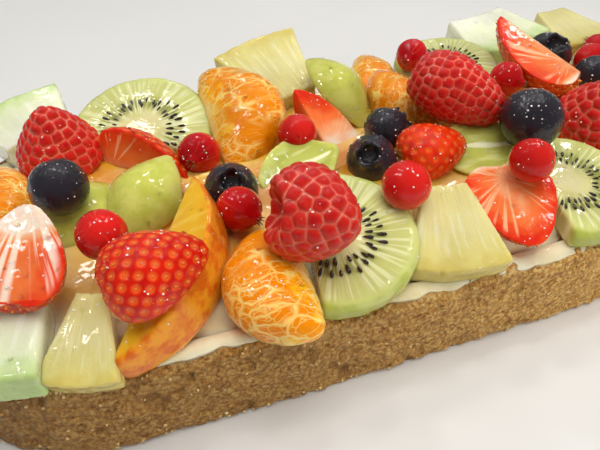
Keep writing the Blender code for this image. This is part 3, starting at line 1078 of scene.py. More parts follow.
def show(name: str, mesh: bpy.types.Mesh, slot: str, nodes: Sequence[str] = ()) -> bpy.types.Object:
    """Puts a finished mesh, still in millimetres, in the scene as a piece that rides on the tart.

    Args:
        name: the piece's name.
        mesh: its mesh, with its material on it.
        slot: the name of a material slot; not used.
        nodes: the CAD nodes that it stands for.

    Returns:
        The piece.
    """
    mesh.name = name
    mesh.transform(Matrix.Scale(MM, 4))
    mesh.shade_smooth()
    piece = bpy.data.objects.new(name, mesh)
    bpy.context.scene.collection.objects.link(piece)
    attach(piece, BODY)
    if nodes:
        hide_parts(*nodes)
    LOG.info("%s: %d faces", name, len(mesh.polygons))
    return piece


@dataclass
class Fruit:
    """One piece of fruit: its solid, its relief, and what its finish reads."""

    placing: Placing
    seed: int
    finish: Flesh = GRAPE
    slot: str = "grape"
    voxel: float = 0.5
    rounds: int = 6
    lump: float = 0.35

    @property
    def size(self) -> float:
        """The piece's nominal size."""
        return self.placing.size

    def solid(self) -> bmesh.types.BMesh:
        """The closed plain form about its own middle."""
        raise NotImplementedError

    def relief(self, points: np.ndarray, normals: np.ndarray) -> np.ndarray:
        """How far each point stands out from the plain form."""
        return np.zeros(len(points))

    def traits(self, points: np.ndarray, normals: np.ndarray) -> Traits:
        """What the finish reads."""
        raise NotImplementedError

    def extras(self) -> dict[str, Spots]:
        """Small bodies that grow on the piece, by kind."""
        return {}

    def blank(self) -> Body:
        """The fine body before its relief."""
        return refined(self.solid(), self.voxel, self.rounds)

    def build(self, fit: Callable[[np.ndarray], Move]) -> tuple[bpy.types.Mesh, dict[str, Spots]]:
        """Builds the piece in its place.

        Args:
            fit: gives the move that lays the finished points in their place.

        Returns:
            The mesh, and the spots of the small bodies that grow on it.
        """
        body = self.blank()
        plain, normals = body.points, body.normals
        traits = self.traits(plain, normals)
        uneven = self.lump * lumps(plain, 0.42 * self.size, self.seed)
        uneven += 0.3 * self.lump * lumps(plain, 0.14 * self.size, self.seed + 50)
        shaped = plain + normals * (uneven + self.relief(plain, normals))[:, None]
        for name, values in (("form", plain / self.size), *vars(traits).items()):
            body.tag(name, values)
        self.mark(body, plain)
        move = fit(shaped)
        body.points = move.points(shaped)
        body.mesh.materials.clear()
        body.mesh.materials.append(self.finish.material())
        return body.mesh, {kind: move.spots(spots) for kind, spots in self.extras().items()}

    def mark(self, body: Body, plain: np.ndarray) -> None:
        """Adds attributes that only this fruit's finish reads."""


@dataclass
class Kiwi(Fruit):
    """A kiwi slice, or a slice with one side cut off."""

    finish: Flesh = KIWI
    slot: str = "kiwi"
    voxel: float = 0.6
    rounds: int = 5
    lump: float = 0.25
    thickness: float = 0.17
    squash: float = 0.94
    cut: float = -0.15
    seed_count: int = 62
    ring: tuple[float, float] = (0.37, 0.58)
    ray_count: float = 13.0

    def solid(self) -> bmesh.types.BMesh:
        """A round slab with eased rims, cut on its -X side where it is a piece."""
        bm = bmesh.new()
        half = self.size / 2
        bmesh.ops.create_cone(
            bm, cap_ends=True, segments=96, radius1=half, radius2=half, depth=self.thickness * self.size
        )
        rims = [edge for edge in bm.edges if abs(edge.verts[0].co.z - edge.verts[1].co.z) < 0.01]
        bmesh.ops.bevel(bm, geom=rims, offset=0.03 * self.size, segments=2, affect="EDGES")
        reshape(bm, lambda x, y, z: Vector((x, self.squash * y, z)))
        if self.placing.kind is Kind.KIWI_PIECE:
            cut_away(bm, (self.cut * self.size, 0, 0), (-1, 0, 0))
        return bm

    def polar(self, points: np.ndarray) -> tuple[np.ndarray, np.ndarray]:
        """Each point's distance from the middle, 1 at the rim, and its direction."""
        x, y = points[:, 0], points[:, 1] / self.squash
        return np.hypot(x, y) / (self.size / 2), np.arctan2(y, x)

    def traits(self, points: np.ndarray, normals: np.ndarray) -> Traits:
        """Fibres run out from the middle."""
        reach, angle = self.polar(points)
        run = 0.9 * reach + 0.1 * points[:, 2] + self.seed
        grain = np.column_stack((self.ray_count * np.cos(angle), self.ray_count * np.sin(angle), run))
        rim = smooth_step(0.985, 1.02, reach) * (np.abs(normals[:, 2]) < 0.5)
        return Traits(grain, 1 - np.clip(reach, 0, 1), 0.6 * rim)

    def relief(self, points: np.ndarray, normals: np.ndarray) -> np.ndarray:
        """Low rays, a raised core and a slight hollow under the seeds."""
        reach, angle = self.polar(points)
        rays = lumps(np.column_stack((14 * np.cos(angle), 14 * np.sin(angle), reach)), 1.0, self.seed + 7)
        core = 0.25 * smooth_step(0.34, 0.2, reach)
        hollow = -0.2 * np.exp(-((reach - 0.5) / 0.1) ** 2)
        return 0.12 * rays * smooth_step(0.2, 0.4, reach) + core + hollow

    def extras(self) -> dict[str, Spots]:
        """Seeds in a ring on both faces, aimed outwards."""
        rng = np.random.default_rng(self.seed)
        spots = Spots()
        for side in (1, -1):
            steps = np.arange(self.seed_count)
            angle = math.tau * (steps + rng.uniform(-0.3, 0.3, self.seed_count)) / self.seed_count
            low, high = self.ring
            near = rng.uniform(low, low + 0.08, self.seed_count)
            far = rng.uniform(high - 0.1, high, self.seed_count)
            reach = np.where(steps % 2, near, far) * (self.size / 2)
            height = np.full(self.seed_count, side * (self.thickness * self.size / 2 - 0.05))
            places = np.column_stack((reach * np.cos(angle), self.squash * reach * np.sin(angle), height))
            aims = np.column_stack((-np.cos(angle), -np.sin(angle), rng.uniform(-0.1, 0.1, self.seed_count)))
            kept = np.ones(self.seed_count, bool)
            if self.placing.kind is Kind.KIWI_PIECE:
                kept = places[:, 0] > self.cut * self.size + 0.6
            kept &= rng.uniform(0, 1, self.seed_count) > 0.06
            bulks = rng.uniform(0.8, 1.15, self.seed_count)
            spots = spots.joined(Spots(places[kept], aims[kept], bulks[kept]))
        return {"kiwi_seeds": spots}


@dataclass
class Slab(Fruit):
    """A slab cut from a ring of fruit, its outer arc towards -Y."""

    inner: float = 0.9
    outer: float = 1.8
    opening: float = 30.0
    thickness: float = 0.36
    fibre: float = 1.0
    fibre_relief: float = 0.18
    arc_steps: int = 24
    voxel: float = 0.6
    rounds: int = 9

    @property
    def apex(self) -> float:
        """Where the middle of the ring lies on Y."""
        return (self.inner + self.outer) / 2 * self.size

    def solid(self) -> bmesh.types.BMesh:
        """The slab with sharp edges; the refining eases them."""
        bm = bmesh.new()
        rim = []
        half = self.arc_steps // 2
        there = range(-half, half + 1)
        for radius, steps in ((self.outer * self.size, there), (self.inner * self.size, reversed(there))):
            for step in steps:
                angle = math.radians(self.opening / 2 * step / half)
                x, y = radius * math.sin(angle), self.apex - radius * math.cos(angle)
                rim.append(bm.verts.new((x, y, -self.thickness * self.size / 2)))
        grown = bmesh.ops.extrude_face_region(bm, geom=[bm.faces.new(rim)])
        raised = [part for part in grown["geom"] if isinstance(part, bmesh.types.BMVert)]
        bmesh.ops.translate(bm, verts=raised, vec=(0, 0, self.thickness * self.size))
        bmesh.ops.recalc_face_normals(bm, faces=bm.faces)
        return bm

    def polar(self, points: np.ndarray) -> tuple[np.ndarray, np.ndarray]:
        """Each point's distance from the ring's middle and its direction."""
        x, y = points[:, 0], self.apex - points[:, 1]
        return np.hypot(x, y), np.arctan2(x, y)

    def traits(self, points: np.ndarray, normals: np.ndarray) -> Traits:
        """Fibres run out from the ring's middle."""
        reach, angle = self.polar(points)
        outer, inner = self.outer * self.size, self.inner * self.size
        grain = np.column_stack((
            angle * outer / self.fibre, points[:, 2] / self.fibre, (reach / 9 + self.seed) / self.fibre
        ))
        depth = np.clip((outer - reach) / (outer - inner), 0, 1)
        return Traits(grain, depth, np.zeros(len(points)))

    def relief(self, points: np.ndarray, normals: np.ndarray) -> np.ndarray:
        """Fibres stand out a little."""
        return self.fibre_relief * lumps(self.traits(points, normals).grain, 1.0, self.seed)


@dataclass
class Pineapple(Slab):
    """A wedge or chunk of pineapple."""

    finish: Flesh = PINEAPPLE
    slot: str = "pineapple"
    fibre: float = 1.3


@dataclass
class Melon(Slab):
    """A wedge or chunk of honeydew melon."""

    finish: Flesh = MELON
    slot: str = "melon"
    fibre: float = 2.4
    fibre_relief: float = 0.1


@dataclass
class Mandarin(Fruit):
    """A mandarin segment on its side: round back towards -Y, thin inner edge towards +Y."""

    finish: Flesh = MANDARIN
    slot: str = "mandarin"
    voxel: float = 0.45
    rounds: int = 3
    lump: float = 0.45

    def solid(self) -> bmesh.types.BMesh:
        """A plump crescent."""

        def rule(x: float, y: float, z: float) -> Vector:
            """Bends and thins a unit ball."""
            depth = 0.34 * self.size * y * (1.0 if y < 0 else 0.7) + 0.12 * self.size * x * x
            return Vector((0.5 * self.size * x, depth, 0.2 * self.size * z * (1.0 - 0.36 * y)))

        return reshape(ball(72, 48), rule)

    def traits(self, points: np.ndarray, normals: np.ndarray) -> Traits:
        """Sacs run from the inner edge to the back; depth is high at the inner edge and the tips."""
        form = points / self.size
        bend = form[:, 1] - 0.48 * form[:, 0] ** 2
        grain = np.column_stack((form[:, 0] * 11, bend * 4.5, form[:, 2] * 9 + self.seed))
        inner = smooth_step(0.02, 0.24, bend)
        tips = smooth_step(0.4, 0.5, np.abs(form[:, 0]))
        return Traits(grain, np.clip(0.95 * inner + 0.4 * tips, 0, 1), np.zeros(len(points)))

    def relief(self, points: np.ndarray, normals: np.ndarray) -> np.ndarray:
        """The sacs swell under the skin."""
        grain = self.traits(points, normals).grain
        return 0.32 * lumps(grain, 1.3, self.seed) + 0.12 * lumps(grain, 0.5, self.seed + 3)


@dataclass
class Peach(Fruit):
    """A wedge of peach: skin towards -Y, two cut faces, and a hollow where the stone was."""

    finish: Flesh = PEACH
    slot: str = "peach"
    voxel: float = 0.6
    opening: float = 15.0
    core: float = 0.45

    def solid(self) -> bmesh.types.BMesh:
        """The wedge of an oval ball."""
        half = 0.5 * self.size
        bm = reshape(ball(96, 64), lambda x, y, z: half * Vector((z, 0.94 * y, -x)))
        slope = math.radians(self.opening)
        for side in (1, -1):
            cut_away(bm, (0, 0, 0), (0, math.sin(slope), side * math.cos(slope)))
        cut_away(bm, (0, -half * self.core, 0), (0, 1, 0))
        return reshape(bm, lambda x, y, z: Vector((x, y + half * (1 + self.core) / 2, z)))

    def traits(self, points: np.ndarray, normals: np.ndarray) -> Traits:
        """Skin covers the round back; fibres run out to it."""
        half = 0.5 * self.size
        from_stone = points - (0, half * (1 + self.core) / 2, 0)
        reach = np.linalg.norm(from_stone / (half, 0.94 * half, half), axis=1)
        skin = smooth_step(0.955, 0.985, reach)
        angle = np.arctan2(from_stone[:, 0], -from_stone[:, 1])
        grain = np.column_stack((angle * 9, reach * 2.5, from_stone[:, 2] / 4 + self.seed))
        return Traits(grain, np.clip((1 - reach) / (1 - self.core), 0, 1), skin)


@dataclass
class Grape(Fruit):
    """Half a grape with its cut face down; the +X end is the sharper one."""

    finish: Flesh = GRAPE
    slot: str = "grape"
    voxel: float = 0.45
    lump: float = 0.15

    def solid(self) -> bmesh.types.BMesh:
        """The half of a pointed oval."""

        def rule(x: float, y: float, z: float) -> Vector:
            """Stretches a unit ball and sharpens one end."""
            narrow = 1.0 - 0.3 * x * x - 0.3 * max(x, 0.0)
            return Vector((0.5 * self.size * x, 0.36 * self.size * y * narrow, 0.34 * self.size * z * narrow))

        return cut_away(reshape(ball(72, 48), rule), (0, 0, 0.05 * self.size), (0, 0, -1))

    def traits(self, points: np.ndarray, normals: np.ndarray) -> Traits:
        """Skin covers the round back; a pale line runs down the cut face."""
        form = points / self.size
        skin = smooth_step(0.055, 0.085, form[:, 2])
        reach = np.hypot(form[:, 0] / 0.5, form[:, 1] / 0.38)
        wander = 0.02 * np.sin(7 * form[:, 0])
        line = np.exp(-(((form[:, 1] - wander) / 0.02) ** 2)) * smooth_step(0.42, 0.3, np.abs(form[:, 0]))
        grain = np.column_stack((form[:, 0] * 3, form[:, 1] * 12, form[:, 2] * 12 + self.seed))
        return Traits(grain, np.clip(0.75 * (1 - reach) + line, 0, 1), skin)


BERRY_PROFILE = (
    (0.0, 0.5), (0.1, 0.47), (0.25, 0.32), (0.38, 0.08),
    (0.43, -0.16), (0.38, -0.36), (0.2, -0.49), (0.0, -0.44),
)


@dataclass
class Strawberry(Fruit):
    """Half or a quarter of a strawberry lying on its cut face, its tip along +X."""

    finish: Flesh = STRAWBERRY
    slot: str = "strawberry"
    voxel: float = 0.36
    rounds: int = 5
    squash: float = 0.92
    pale_tip: bool = False
    pale_base: tuple[float, float] = (-0.36, -0.46)
    pit_spacing: float = 2.9
    pit_depth: float = 0.55
    pit_width: float = 0.62

    def profile(self) -> list[tuple[float, float]]:
        """The berry's outline as (radius, height), tip first."""
        curve = eased_profile(BERRY_PROFILE, 8)
        return [(self.size * radius, self.size * height) for radius, height in curve]

    def solid(self) -> bmesh.types.BMesh:
        """The cut berry."""
        bm = reshape(turned(self.profile(), 96), lambda x, y, z: Vector((z, y, self.squash * -x)))
        cut_away(bm, (0, 0, 0.3), (0, 0, -1))
        if self.placing.kind is Kind.STRAWBERRY_WEDGE:
            cut_away(bm, (0, 0.1, 0), (0, -1, 0))
        return bm

    def around(self, points: np.ndarray) -> tuple[np.ndarray, np.ndarray]:
        """Each point's distance from the berry's axis, and the skin's distance there."""
        outline = np.array(self.profile())
        order = np.argsort(outline[:, 1])
        skin_at = np.interp(points[:, 0], outline[order, 1], outline[order, 0])
        return np.hypot(points[:, 1], points[:, 2] / self.squash), skin_at

    def traits(self, points: np.ndarray, normals: np.ndarray) -> Traits:
        """Skin covers the back; streaks fan from the shoulder to the skin."""
        reach, skin_at = self.around(points)
        below = np.maximum(skin_at - reach, 0)
        cut = smooth_step(0.75, 0.3, points[:, 2])
        if self.placing.kind is Kind.STRAWBERRY_WEDGE:
            cut = np.maximum(cut, smooth_step(0.55, 0.15, points[:, 1]))
        back = smooth_step(*self.pale_base, points[:, 0] / self.size)
        from_fan = 0.6 * self.size - points[:, 0] if self.pale_tip else points[:, 0] + 0.3 * self.size
        angle = np.arctan2(reach, from_fan)
        sideways = np.sign(points[:, 1] + 0.01)
        level = np.full(len(points), float(self.seed))
        grain = np.column_stack((angle * 8 * sideways, reach / self.size * 2, level))
        depth = np.clip(below / (0.36 * self.size), 0, 1)
        along = points[:, 0] / self.size
        depth *= 0.62
        if self.pale_tip:
            depth = np.clip(0.7 * depth + smooth_step(0.02, 0.36, along), 0, 1)
        else:
            depth = np.clip(np.maximum(depth, 0.9 * back) * smooth_step(0.55, 0.1, along), 0, 1)
        return Traits(grain, depth, 1 - cut)

    def pits(self) -> Spots:
        """Where the seeds sit on the whole skin: in crossing rows, evenly spread."""
        outline = np.array(self.profile())
        steps = np.linalg.norm(np.diff(outline, axis=0), axis=1)
        areas = math.tau * (outline[1:, 0] + outline[:-1, 0]) / 2 * steps
        covered = np.concatenate(((0,), np.cumsum(areas)))
        count = int(covered[-1] / self.pit_spacing**2 * 1.15)
        at = (np.arange(count) + 0.5) / count * covered[-1]
        radius = np.interp(at, covered, outline[:, 0])
        height = np.interp(at, covered, outline[:, 1])
        angle = GOLDEN_TURN * np.arange(count)
        places = np.column_stack((height, radius * np.sin(angle), self.squash * radius * np.cos(angle)))
        aims = np.tile((1.0, 0.0, 0.0), (count, 1))
        return Spots(places, aims, np.full(count, self.size / 26))

    def pit_share(self, points: np.ndarray) -> np.ndarray:
        """How near each point is to the middle of a pit, from 0 to 1."""
        share = np.zeros(len(points))
        width = self.pit_width * self.size / 26
        for place in self.pits().places:
            near = np.abs(points[:, 0] - place[0]) < 3 * width
            away = np.sum((points[near] - place) ** 2, axis=1)
            share[near] = np.maximum(share[near], np.exp(-away / (2 * width**2)))
        return share

    def relief(self, points: np.ndarray, normals: np.ndarray) -> np.ndarray:
        """Pits in the skin, with cushions between them."""
        skin = self.traits(points, normals).skin
        return -self.pit_depth * self.pit_share(points) * skin

    def mark(self, body: Body, plain: np.ndarray) -> None:
        """Marks the pale halo round each pit."""
        share = self.pit_share(plain) * self.traits(plain, plain).skin
        body.tag("pit", 0.75 * smooth_step(0.06, 0.5, share))

    def extras(self) -> dict[str, Spots]:
        """Seeds sunk in the pits of what skin is left."""
        pits = self.pits()
        kept = pits.places[:, 2] > 0.9
        if self.placing.kind is Kind.STRAWBERRY_WEDGE:
            kept &= pits.places[:, 1] > 0.7
        inwards = pits.places * (0, 1, 1)
        inwards /= np.maximum(np.linalg.norm(inwards, axis=1), 0.01)[:, None]
        sunk = pits.places - 0.42 * inwards
        return {"strawberry_seeds": Spots(sunk[kept], pits.aims[kept], pits.bulks[kept])}


@dataclass
class Currant(Fruit):
    """A redcurrant with its dried tuft at +Z."""

    finish: Flesh = REDCURRANT
    slot: str = "redcurrant"
    voxel: float = 0.35
    rounds: int = 4
    lump: float = 0.12
    tuft_leaves: int = 7

    def solid(self) -> bmesh.types.BMesh:
        """A ball that draws up a little under its tuft."""
        radius = self.size / 2

        def rule(x: float, y: float, z: float) -> Vector:
            """Raises a low neck at the top."""
            neck = 0.2 * radius * max(z - 0.93, 0.0) / 0.07
            return Vector((radius * x, radius * y, radius * z + neck))

        return reshape(ball(56, 36), rule)

    def traits(self, points: np.ndarray, normals: np.ndarray) -> Traits:
        """Veins run from pole to pole; depth grows from the top downwards, and the lighter red it brings to the lower
        part is a painted glow of light shining through.
        """
        form = points / self.size
        angle = np.arctan2(form[:, 1], form[:, 0])
        grain = np.column_stack((4.5 * np.cos(angle), 4.5 * np.sin(angle), form[:, 2] * 0.8 + self.seed))
        # Painted glow: depth, and with it the lighter red, rises towards the bottom.
        return Traits(grain, np.clip(0.5 - form[:, 2], 0, 1), np.zeros(len(points)))

    def extras(self) -> dict[str, Spots]:
        """A tuft of dry slivers."""
        steps = np.arange(self.tuft_leaves)
        angle = math.tau * steps / self.tuft_leaves
        out = np.column_stack((np.cos(angle), np.sin(angle), np.zeros(self.tuft_leaves)))
        places = out * 0.075 * self.size + (0, 0, 0.585 * self.size)
        aims = out * 0.45 + (0, 0, 1)
        return {"redcurrant_tufts": Spots(places, aims, np.full(self.tuft_leaves, self.size / 12))}


@dataclass
class Blueberry(Fruit):
    """A blueberry with its five-lobed crown at +Z."""

    finish: Flesh = BLUEBERRY
    slot: str = "blueberry"
    voxel: float = 0.35
    rounds: int = 2
    lump: float = 0.2

    def solid(self) -> bmesh.types.BMesh:
        """A squat ball with a cup at the top."""
        radius = self.size / 2
        knots = [(0.0, 0.7), (0.2, 0.71), (0.3, 0.8), (0.4, 0.99), (0.47, 0.97), (0.52, 0.86)]
        for step in range(1, 12):
            angle = math.radians(36 + 144 * step / 12)
            knots.append((math.sin(angle), 0.92 * math.cos(angle)))
        knots.append((0.0, -0.92))
        bm = turned([(radius * r, radius * h) for r, h in eased_profile(knots, 5)], 80)

        def rule(x: float, y: float, z: float) -> Vector:
            """Splits the cup's rim into lobes."""
            reach, angle = math.hypot(x, y), math.atan2(y, x)
            rim = math.exp(-(((reach / radius - 0.43) / 0.1) ** 2)) * (z > 0)
            lobe = 0.5 + 0.5 * math.cos(5 * angle)
            wide = 1 + 0.12 * rim * lobe
            return Vector((x * wide, y * wide, z - 0.13 * radius * rim * (1 - lobe)))

        return reshape(bm, rule)

    def traits(self, points: np.ndarray, normals: np.ndarray) -> Traits:
        """A faint bloom in soft patches."""
        form = points / self.size
        reach = np.hypot(form[:, 0], form[:, 1]) * 2
        crown = smooth_step(0.55, 0.35, reach) * (form[:, 2] > 0)
        return Traits(form * 4 + self.seed, 1 - crown, np.zeros(len(points)))


STALK_HOLLOW = ((0.14, -0.4), (0.11, -0.2), (0.0, -0.18))


@dataclass
class Raspberry(Fruit):
    """A raspberry: a blunt cone of juicy beads, its tip at +Z, hollow underneath."""

    finish: Flesh = RASPBERRY
    slot: str = "raspberry"
    voxel: float = 0.42
    rounds: int = 2
    lump: float = 0.3
    bead: float = 3.5
    rise: float = 0.75
    notch: Colour | None = None
    stretch: float = 1.0
    covered: float = 0.9
    row_pitch: float = 0.84
    taper: float = 0.42

    def radius(self, height: np.ndarray) -> np.ndarray:
        """The cone's radius at a height from -1 to 1."""
        return 0.42 * self.size * np.clip(1 - height**2, 0, 1) ** 0.43 * (1.0 - self.taper * height)

    def outline(self) -> np.ndarray:
        """The cone's (radius, height) points from its tip down."""
        height = np.cos(np.linspace(0, math.pi, 300))
        return np.column_stack((self.radius(height), 0.44 * self.stretch * self.size * height))

    def solid(self) -> bmesh.types.BMesh:
        """The plain cone, hollow where the stalk was."""
        outline = self.outline()[::12]
        hollow = [(self.size * radius, self.stretch * self.size * height) for radius, height in STALK_HOLLOW]
        return turned([tuple(map(float, point)) for point in outline[:-2]] + hollow, 60)

    def beads(self) -> np.ndarray:
        """The middles of the beads: rings of them, each ring set off from the last."""
        rng = np.random.default_rng(self.seed)
        outline = self.outline()
        steps = np.linalg.norm(np.diff(outline, axis=0), axis=1)
        along = np.concatenate(((0,), np.cumsum(steps)))
        rings = round(along[-1] * self.covered / (self.row_pitch * self.bead))
        places = []
        for ring in range(rings + 1):
            at = along[-1] * self.covered * ring / rings
            radius, height = (np.interp(at, along, outline[:, axis]) for axis in (0, 1))
            count = max(1, round(math.tau * radius / self.bead))
            for step in range(count):
                angle = math.tau * (step + 0.5 * (ring % 2) + rng.uniform(-0.14, 0.14)) / count
                level = height + rng.uniform(-0.35, 0.35)
                places.append((radius * math.cos(angle), radius * math.sin(angle), level))
        return np.array(places)

    def nearest(self, points: np.ndarray) -> tuple[np.ndarray, np.ndarray]:
        """For each point, which bead it is on and how far it is from that bead's edge."""
        away = np.linalg.norm(points[:, None, :] - self.beads()[None, :, :], axis=2)
        order = np.argpartition(away, 1, axis=1)[:, :2]
        pair = np.take_along_axis(away, order, axis=1)
        own = np.where(pair[:, 0] <= pair[:, 1], order[:, 0], order[:, 1])
        return own, np.abs(pair[:, 0] - pair[:, 1]) / 2

    def relief(self, points: np.ndarray, normals: np.ndarray) -> np.ndarray:
        """Plump beads with a sharp groove between them."""
        edge = self.nearest(points)[1]
        dome = 1 - (1 - np.clip(edge / (0.4 * self.bead), 0, 1)) ** 2.6
        rise = self.rise * (dome - 0.4)
        if self.notch is not None:
            aim = self.placing.turn().T @ (np.array(self.notch) / np.linalg.norm(self.notch))
            facing = points @ aim / np.linalg.norm(points, axis=1)
            rise -= 0.22 * self.size * smooth_step(0.84, 0.99, facing)
        return rise

    def traits(self, points: np.ndarray, normals: np.ndarray) -> Traits:
        """Depth is 0 in the grooves and 1 on the beads; each bead has its own share of the second red."""
        own, edge = self.nearest(points)
        reds = np.random.default_rng(self.seed + 1).uniform(0, 0.7, own.max() + 1)
        depth = np.clip(edge / 1.1, 0, 1)
        return Traits(points / 3, depth, reds[own] * smooth_step(0.4, 0.7, depth))


FORMS: dict[Kind, Callable[[Placing, int], Fruit]] = {
    Kind.REDCURRANT: Currant,
    Kind.BLUEBERRY: Blueberry,
    Kind.RASPBERRY: Raspberry,
    Kind.STRAWBERRY_HALF: Strawberry,
    Kind.STRAWBERRY_WEDGE: Strawberry,
    Kind.GRAPE_HALF: Grape,
    Kind.MANDARIN: Mandarin,
    Kind.KIWI_SLICE: Kiwi,
    Kind.KIWI_PIECE: Kiwi,
    Kind.PINEAPPLE_WEDGE: functools.partial(
        Pineapple, inner=0.42, outer=1.25, opening=35.0, thickness=0.28
    ),
    Kind.PINEAPPLE_CHUNK: functools.partial(
        Pineapple, inner=0.9, outer=1.8, opening=30.0, thickness=0.28
    ),
    Kind.MELON_WEDGE: functools.partial(
        Melon, inner=1.1, outer=1.9, opening=36.0, thickness=0.34
    ),
    Kind.MELON_CHUNK: functools.partial(
        Melon, inner=1.4, outer=2.1, opening=30.0, thickness=0.38
    ),
    Kind.PEACH_WEDGE: Peach,
}

# node, kind, size; heading of its own +X; how far it leans and towards where; roll.
LAYOUT = [Placing(*row) for row in (
    ("melon_chunk_1", Kind.MELON_CHUNK, 26, 200, 16, -110, 0),
    ("kiwi_slice_1", Kind.KIWI_PIECE, 42, 70, 19, -110, 0),
    ("mandarin_1", Kind.MANDARIN, 29, 70, 5, -110, 0),
    ("mandarin_2", Kind.MANDARIN, 37, 88, 16, -110, 0),
    ("pineapple_chunk_1", Kind.PINEAPPLE_CHUNK, 31, 190, 20, -110, 0),
    ("kiwi_slice_2", Kind.KIWI_PIECE, 38, -10, 16, -110, 0),
    ("melon_wedge_1", Kind.MELON_WEDGE, 24, -25, 5, -110, 0),
    ("pineapple_wedge_1", Kind.PINEAPPLE_WEDGE, 24, -20, 22, -110, 0),
    ("peach_wedge_1", Kind.PEACH_WEDGE, 55, 57, 17, -110, -15),
    ("mandarin_3", Kind.MANDARIN, 33, -90, 10, -160, 0),
    ("pineapple_wedge_2", Kind.PINEAPPLE_CHUNK, 26, -15, 22, -110, 0),
    ("kiwi_slice_4", Kind.KIWI_PIECE, 38, -10, 12, -110, 0),
    ("strawberry_half_2", Kind.STRAWBERRY_HALF, 26, -101, 20, -130, 180),
    ("mandarin_4", Kind.MANDARIN, 28, 60, 6, -110, 0),
    ("mandarin_5", Kind.MANDARIN, 30, -60, 4, -110, 0),
    ("kiwi_slice_3", Kind.KIWI_SLICE, 37, 0, 8, -110, 0),
    ("melon_chunk_2", Kind.MELON_CHUNK, 31, 8, 9, -110, 0),
    ("pineapple_chunk_2", Kind.PINEAPPLE_CHUNK, 28, 0, 8, -110, 0),
    ("grape_half_5", Kind.GRAPE_HALF, 23, -12, 30, -110, 180),
    ("grape_half_4", Kind.GRAPE_HALF, 23, 10, 24, -110, 180),
    ("strawberry_wedge_1", Kind.STRAWBERRY_WEDGE, 28, -40, 0, 0, -12),
    ("grape_half_1", Kind.GRAPE_HALF, 23, 30, 6, -110, 0),
    ("strawberry_half_1", Kind.STRAWBERRY_HALF, 27, 72, 27, -110, 180),
    ("strawberry_wedge_2", Kind.STRAWBERRY_WEDGE, 27, 108, 38, -75, 180),
    ("grape_half_3", Kind.GRAPE_HALF, 27, -72, 44, -110, -58),
    ("strawberry_wedge_3", Kind.STRAWBERRY_WEDGE, 35, 108, 20, -110, -90),
    ("grape_half_2", Kind.GRAPE_HALF, 23, 48, 24, -130, 0),
    ("strawberry_1", Kind.STRAWBERRY_HALF, 24, 10, 15, -110, 0),
    ("blueberry_3", Kind.BLUEBERRY, 14, 0, 60, 0, 0),
    ("raspberry_1", Kind.RASPBERRY, 25, 0, 10, -110, 0),
    ("blueberry_1", Kind.BLUEBERRY, 14, 0, 160, 90, 0),
    ("redcurrant_2", Kind.REDCURRANT, 11, 0, 150, 90, 0),
    ("redcurrant_1", Kind.REDCURRANT, 12, 0, 80, -120, 0),
    ("blueberry_2", Kind.BLUEBERRY, 14, 0, 35, -100, 0),
    ("redcurrant_4", Kind.REDCURRANT, 11, 0, 90, -60, 0),
    ("raspberry_2", Kind.RASPBERRY, 24, 0, 75, -62, 0),
    ("redcurrant_3", Kind.REDCURRANT, 11, 0, 150, 90, 0),
    ("blueberry_4", Kind.BLUEBERRY, 14, 0, 45, -130, 0),
    ("redcurrant_5", Kind.REDCURRANT, 12, 0, 150, 90, 0),
    ("strawberry_2", Kind.STRAWBERRY_HALF, 19, 0, 22, -110, 0),
    ("raspberry_3", Kind.RASPBERRY, 25, 0, 106, -47, 0),
    ("redcurrant_6", Kind.REDCURRANT, 11, 0, 90, -140, 0),
    ("redcurrant_7", Kind.REDCURRANT, 11, 0, 90, -60, 0),
    ("blueberry_6", Kind.BLUEBERRY, 17, 0, 150, 90, 0),
    ("redcurrant_8", Kind.REDCURRANT, 11, 0, 150, 90, 0),
    ("raspberry_4", Kind.RASPBERRY, 24, 0, 20, -110, 0),
    ("blueberry_5", Kind.BLUEBERRY, 17, 0, 35, -110, 0),
    ("redcurrant_9", Kind.REDCURRANT, 12, 0, 90, -60, 0),
    ("blueberry_7", Kind.BLUEBERRY, 14, 0, 90, 60, 0),
    ("mandarin_6", Kind.MANDARIN, 31, 80, 6, -90, 0),
    ("pineapple_wedge_3", Kind.PINEAPPLE_WEDGE, 27, 12, 6, -90, 0),
    ("kiwi_slice_5", Kind.KIWI_SLICE, 39, 0, 6, -80, 0),
    ("kiwi_slice_6", Kind.KIWI_SLICE, 38, 0, 5, 60, 0),
    ("melon_wedge_2", Kind.MELON_WEDGE, 26, 90, 4, 0, 0),
    ("peach_wedge_2", Kind.PEACH_WEDGE, 46, 160, 5, -90, -15),
    ("grape_half_6", Kind.GRAPE_HALF, 24, 70, 6, 30, 0),
    ("strawberry_half_3", Kind.STRAWBERRY_HALF, 25, 200, 10, -90, 0),
    ("raspberry_5", Kind.RASPBERRY, 24, 0, 70, -40, 0),
)]

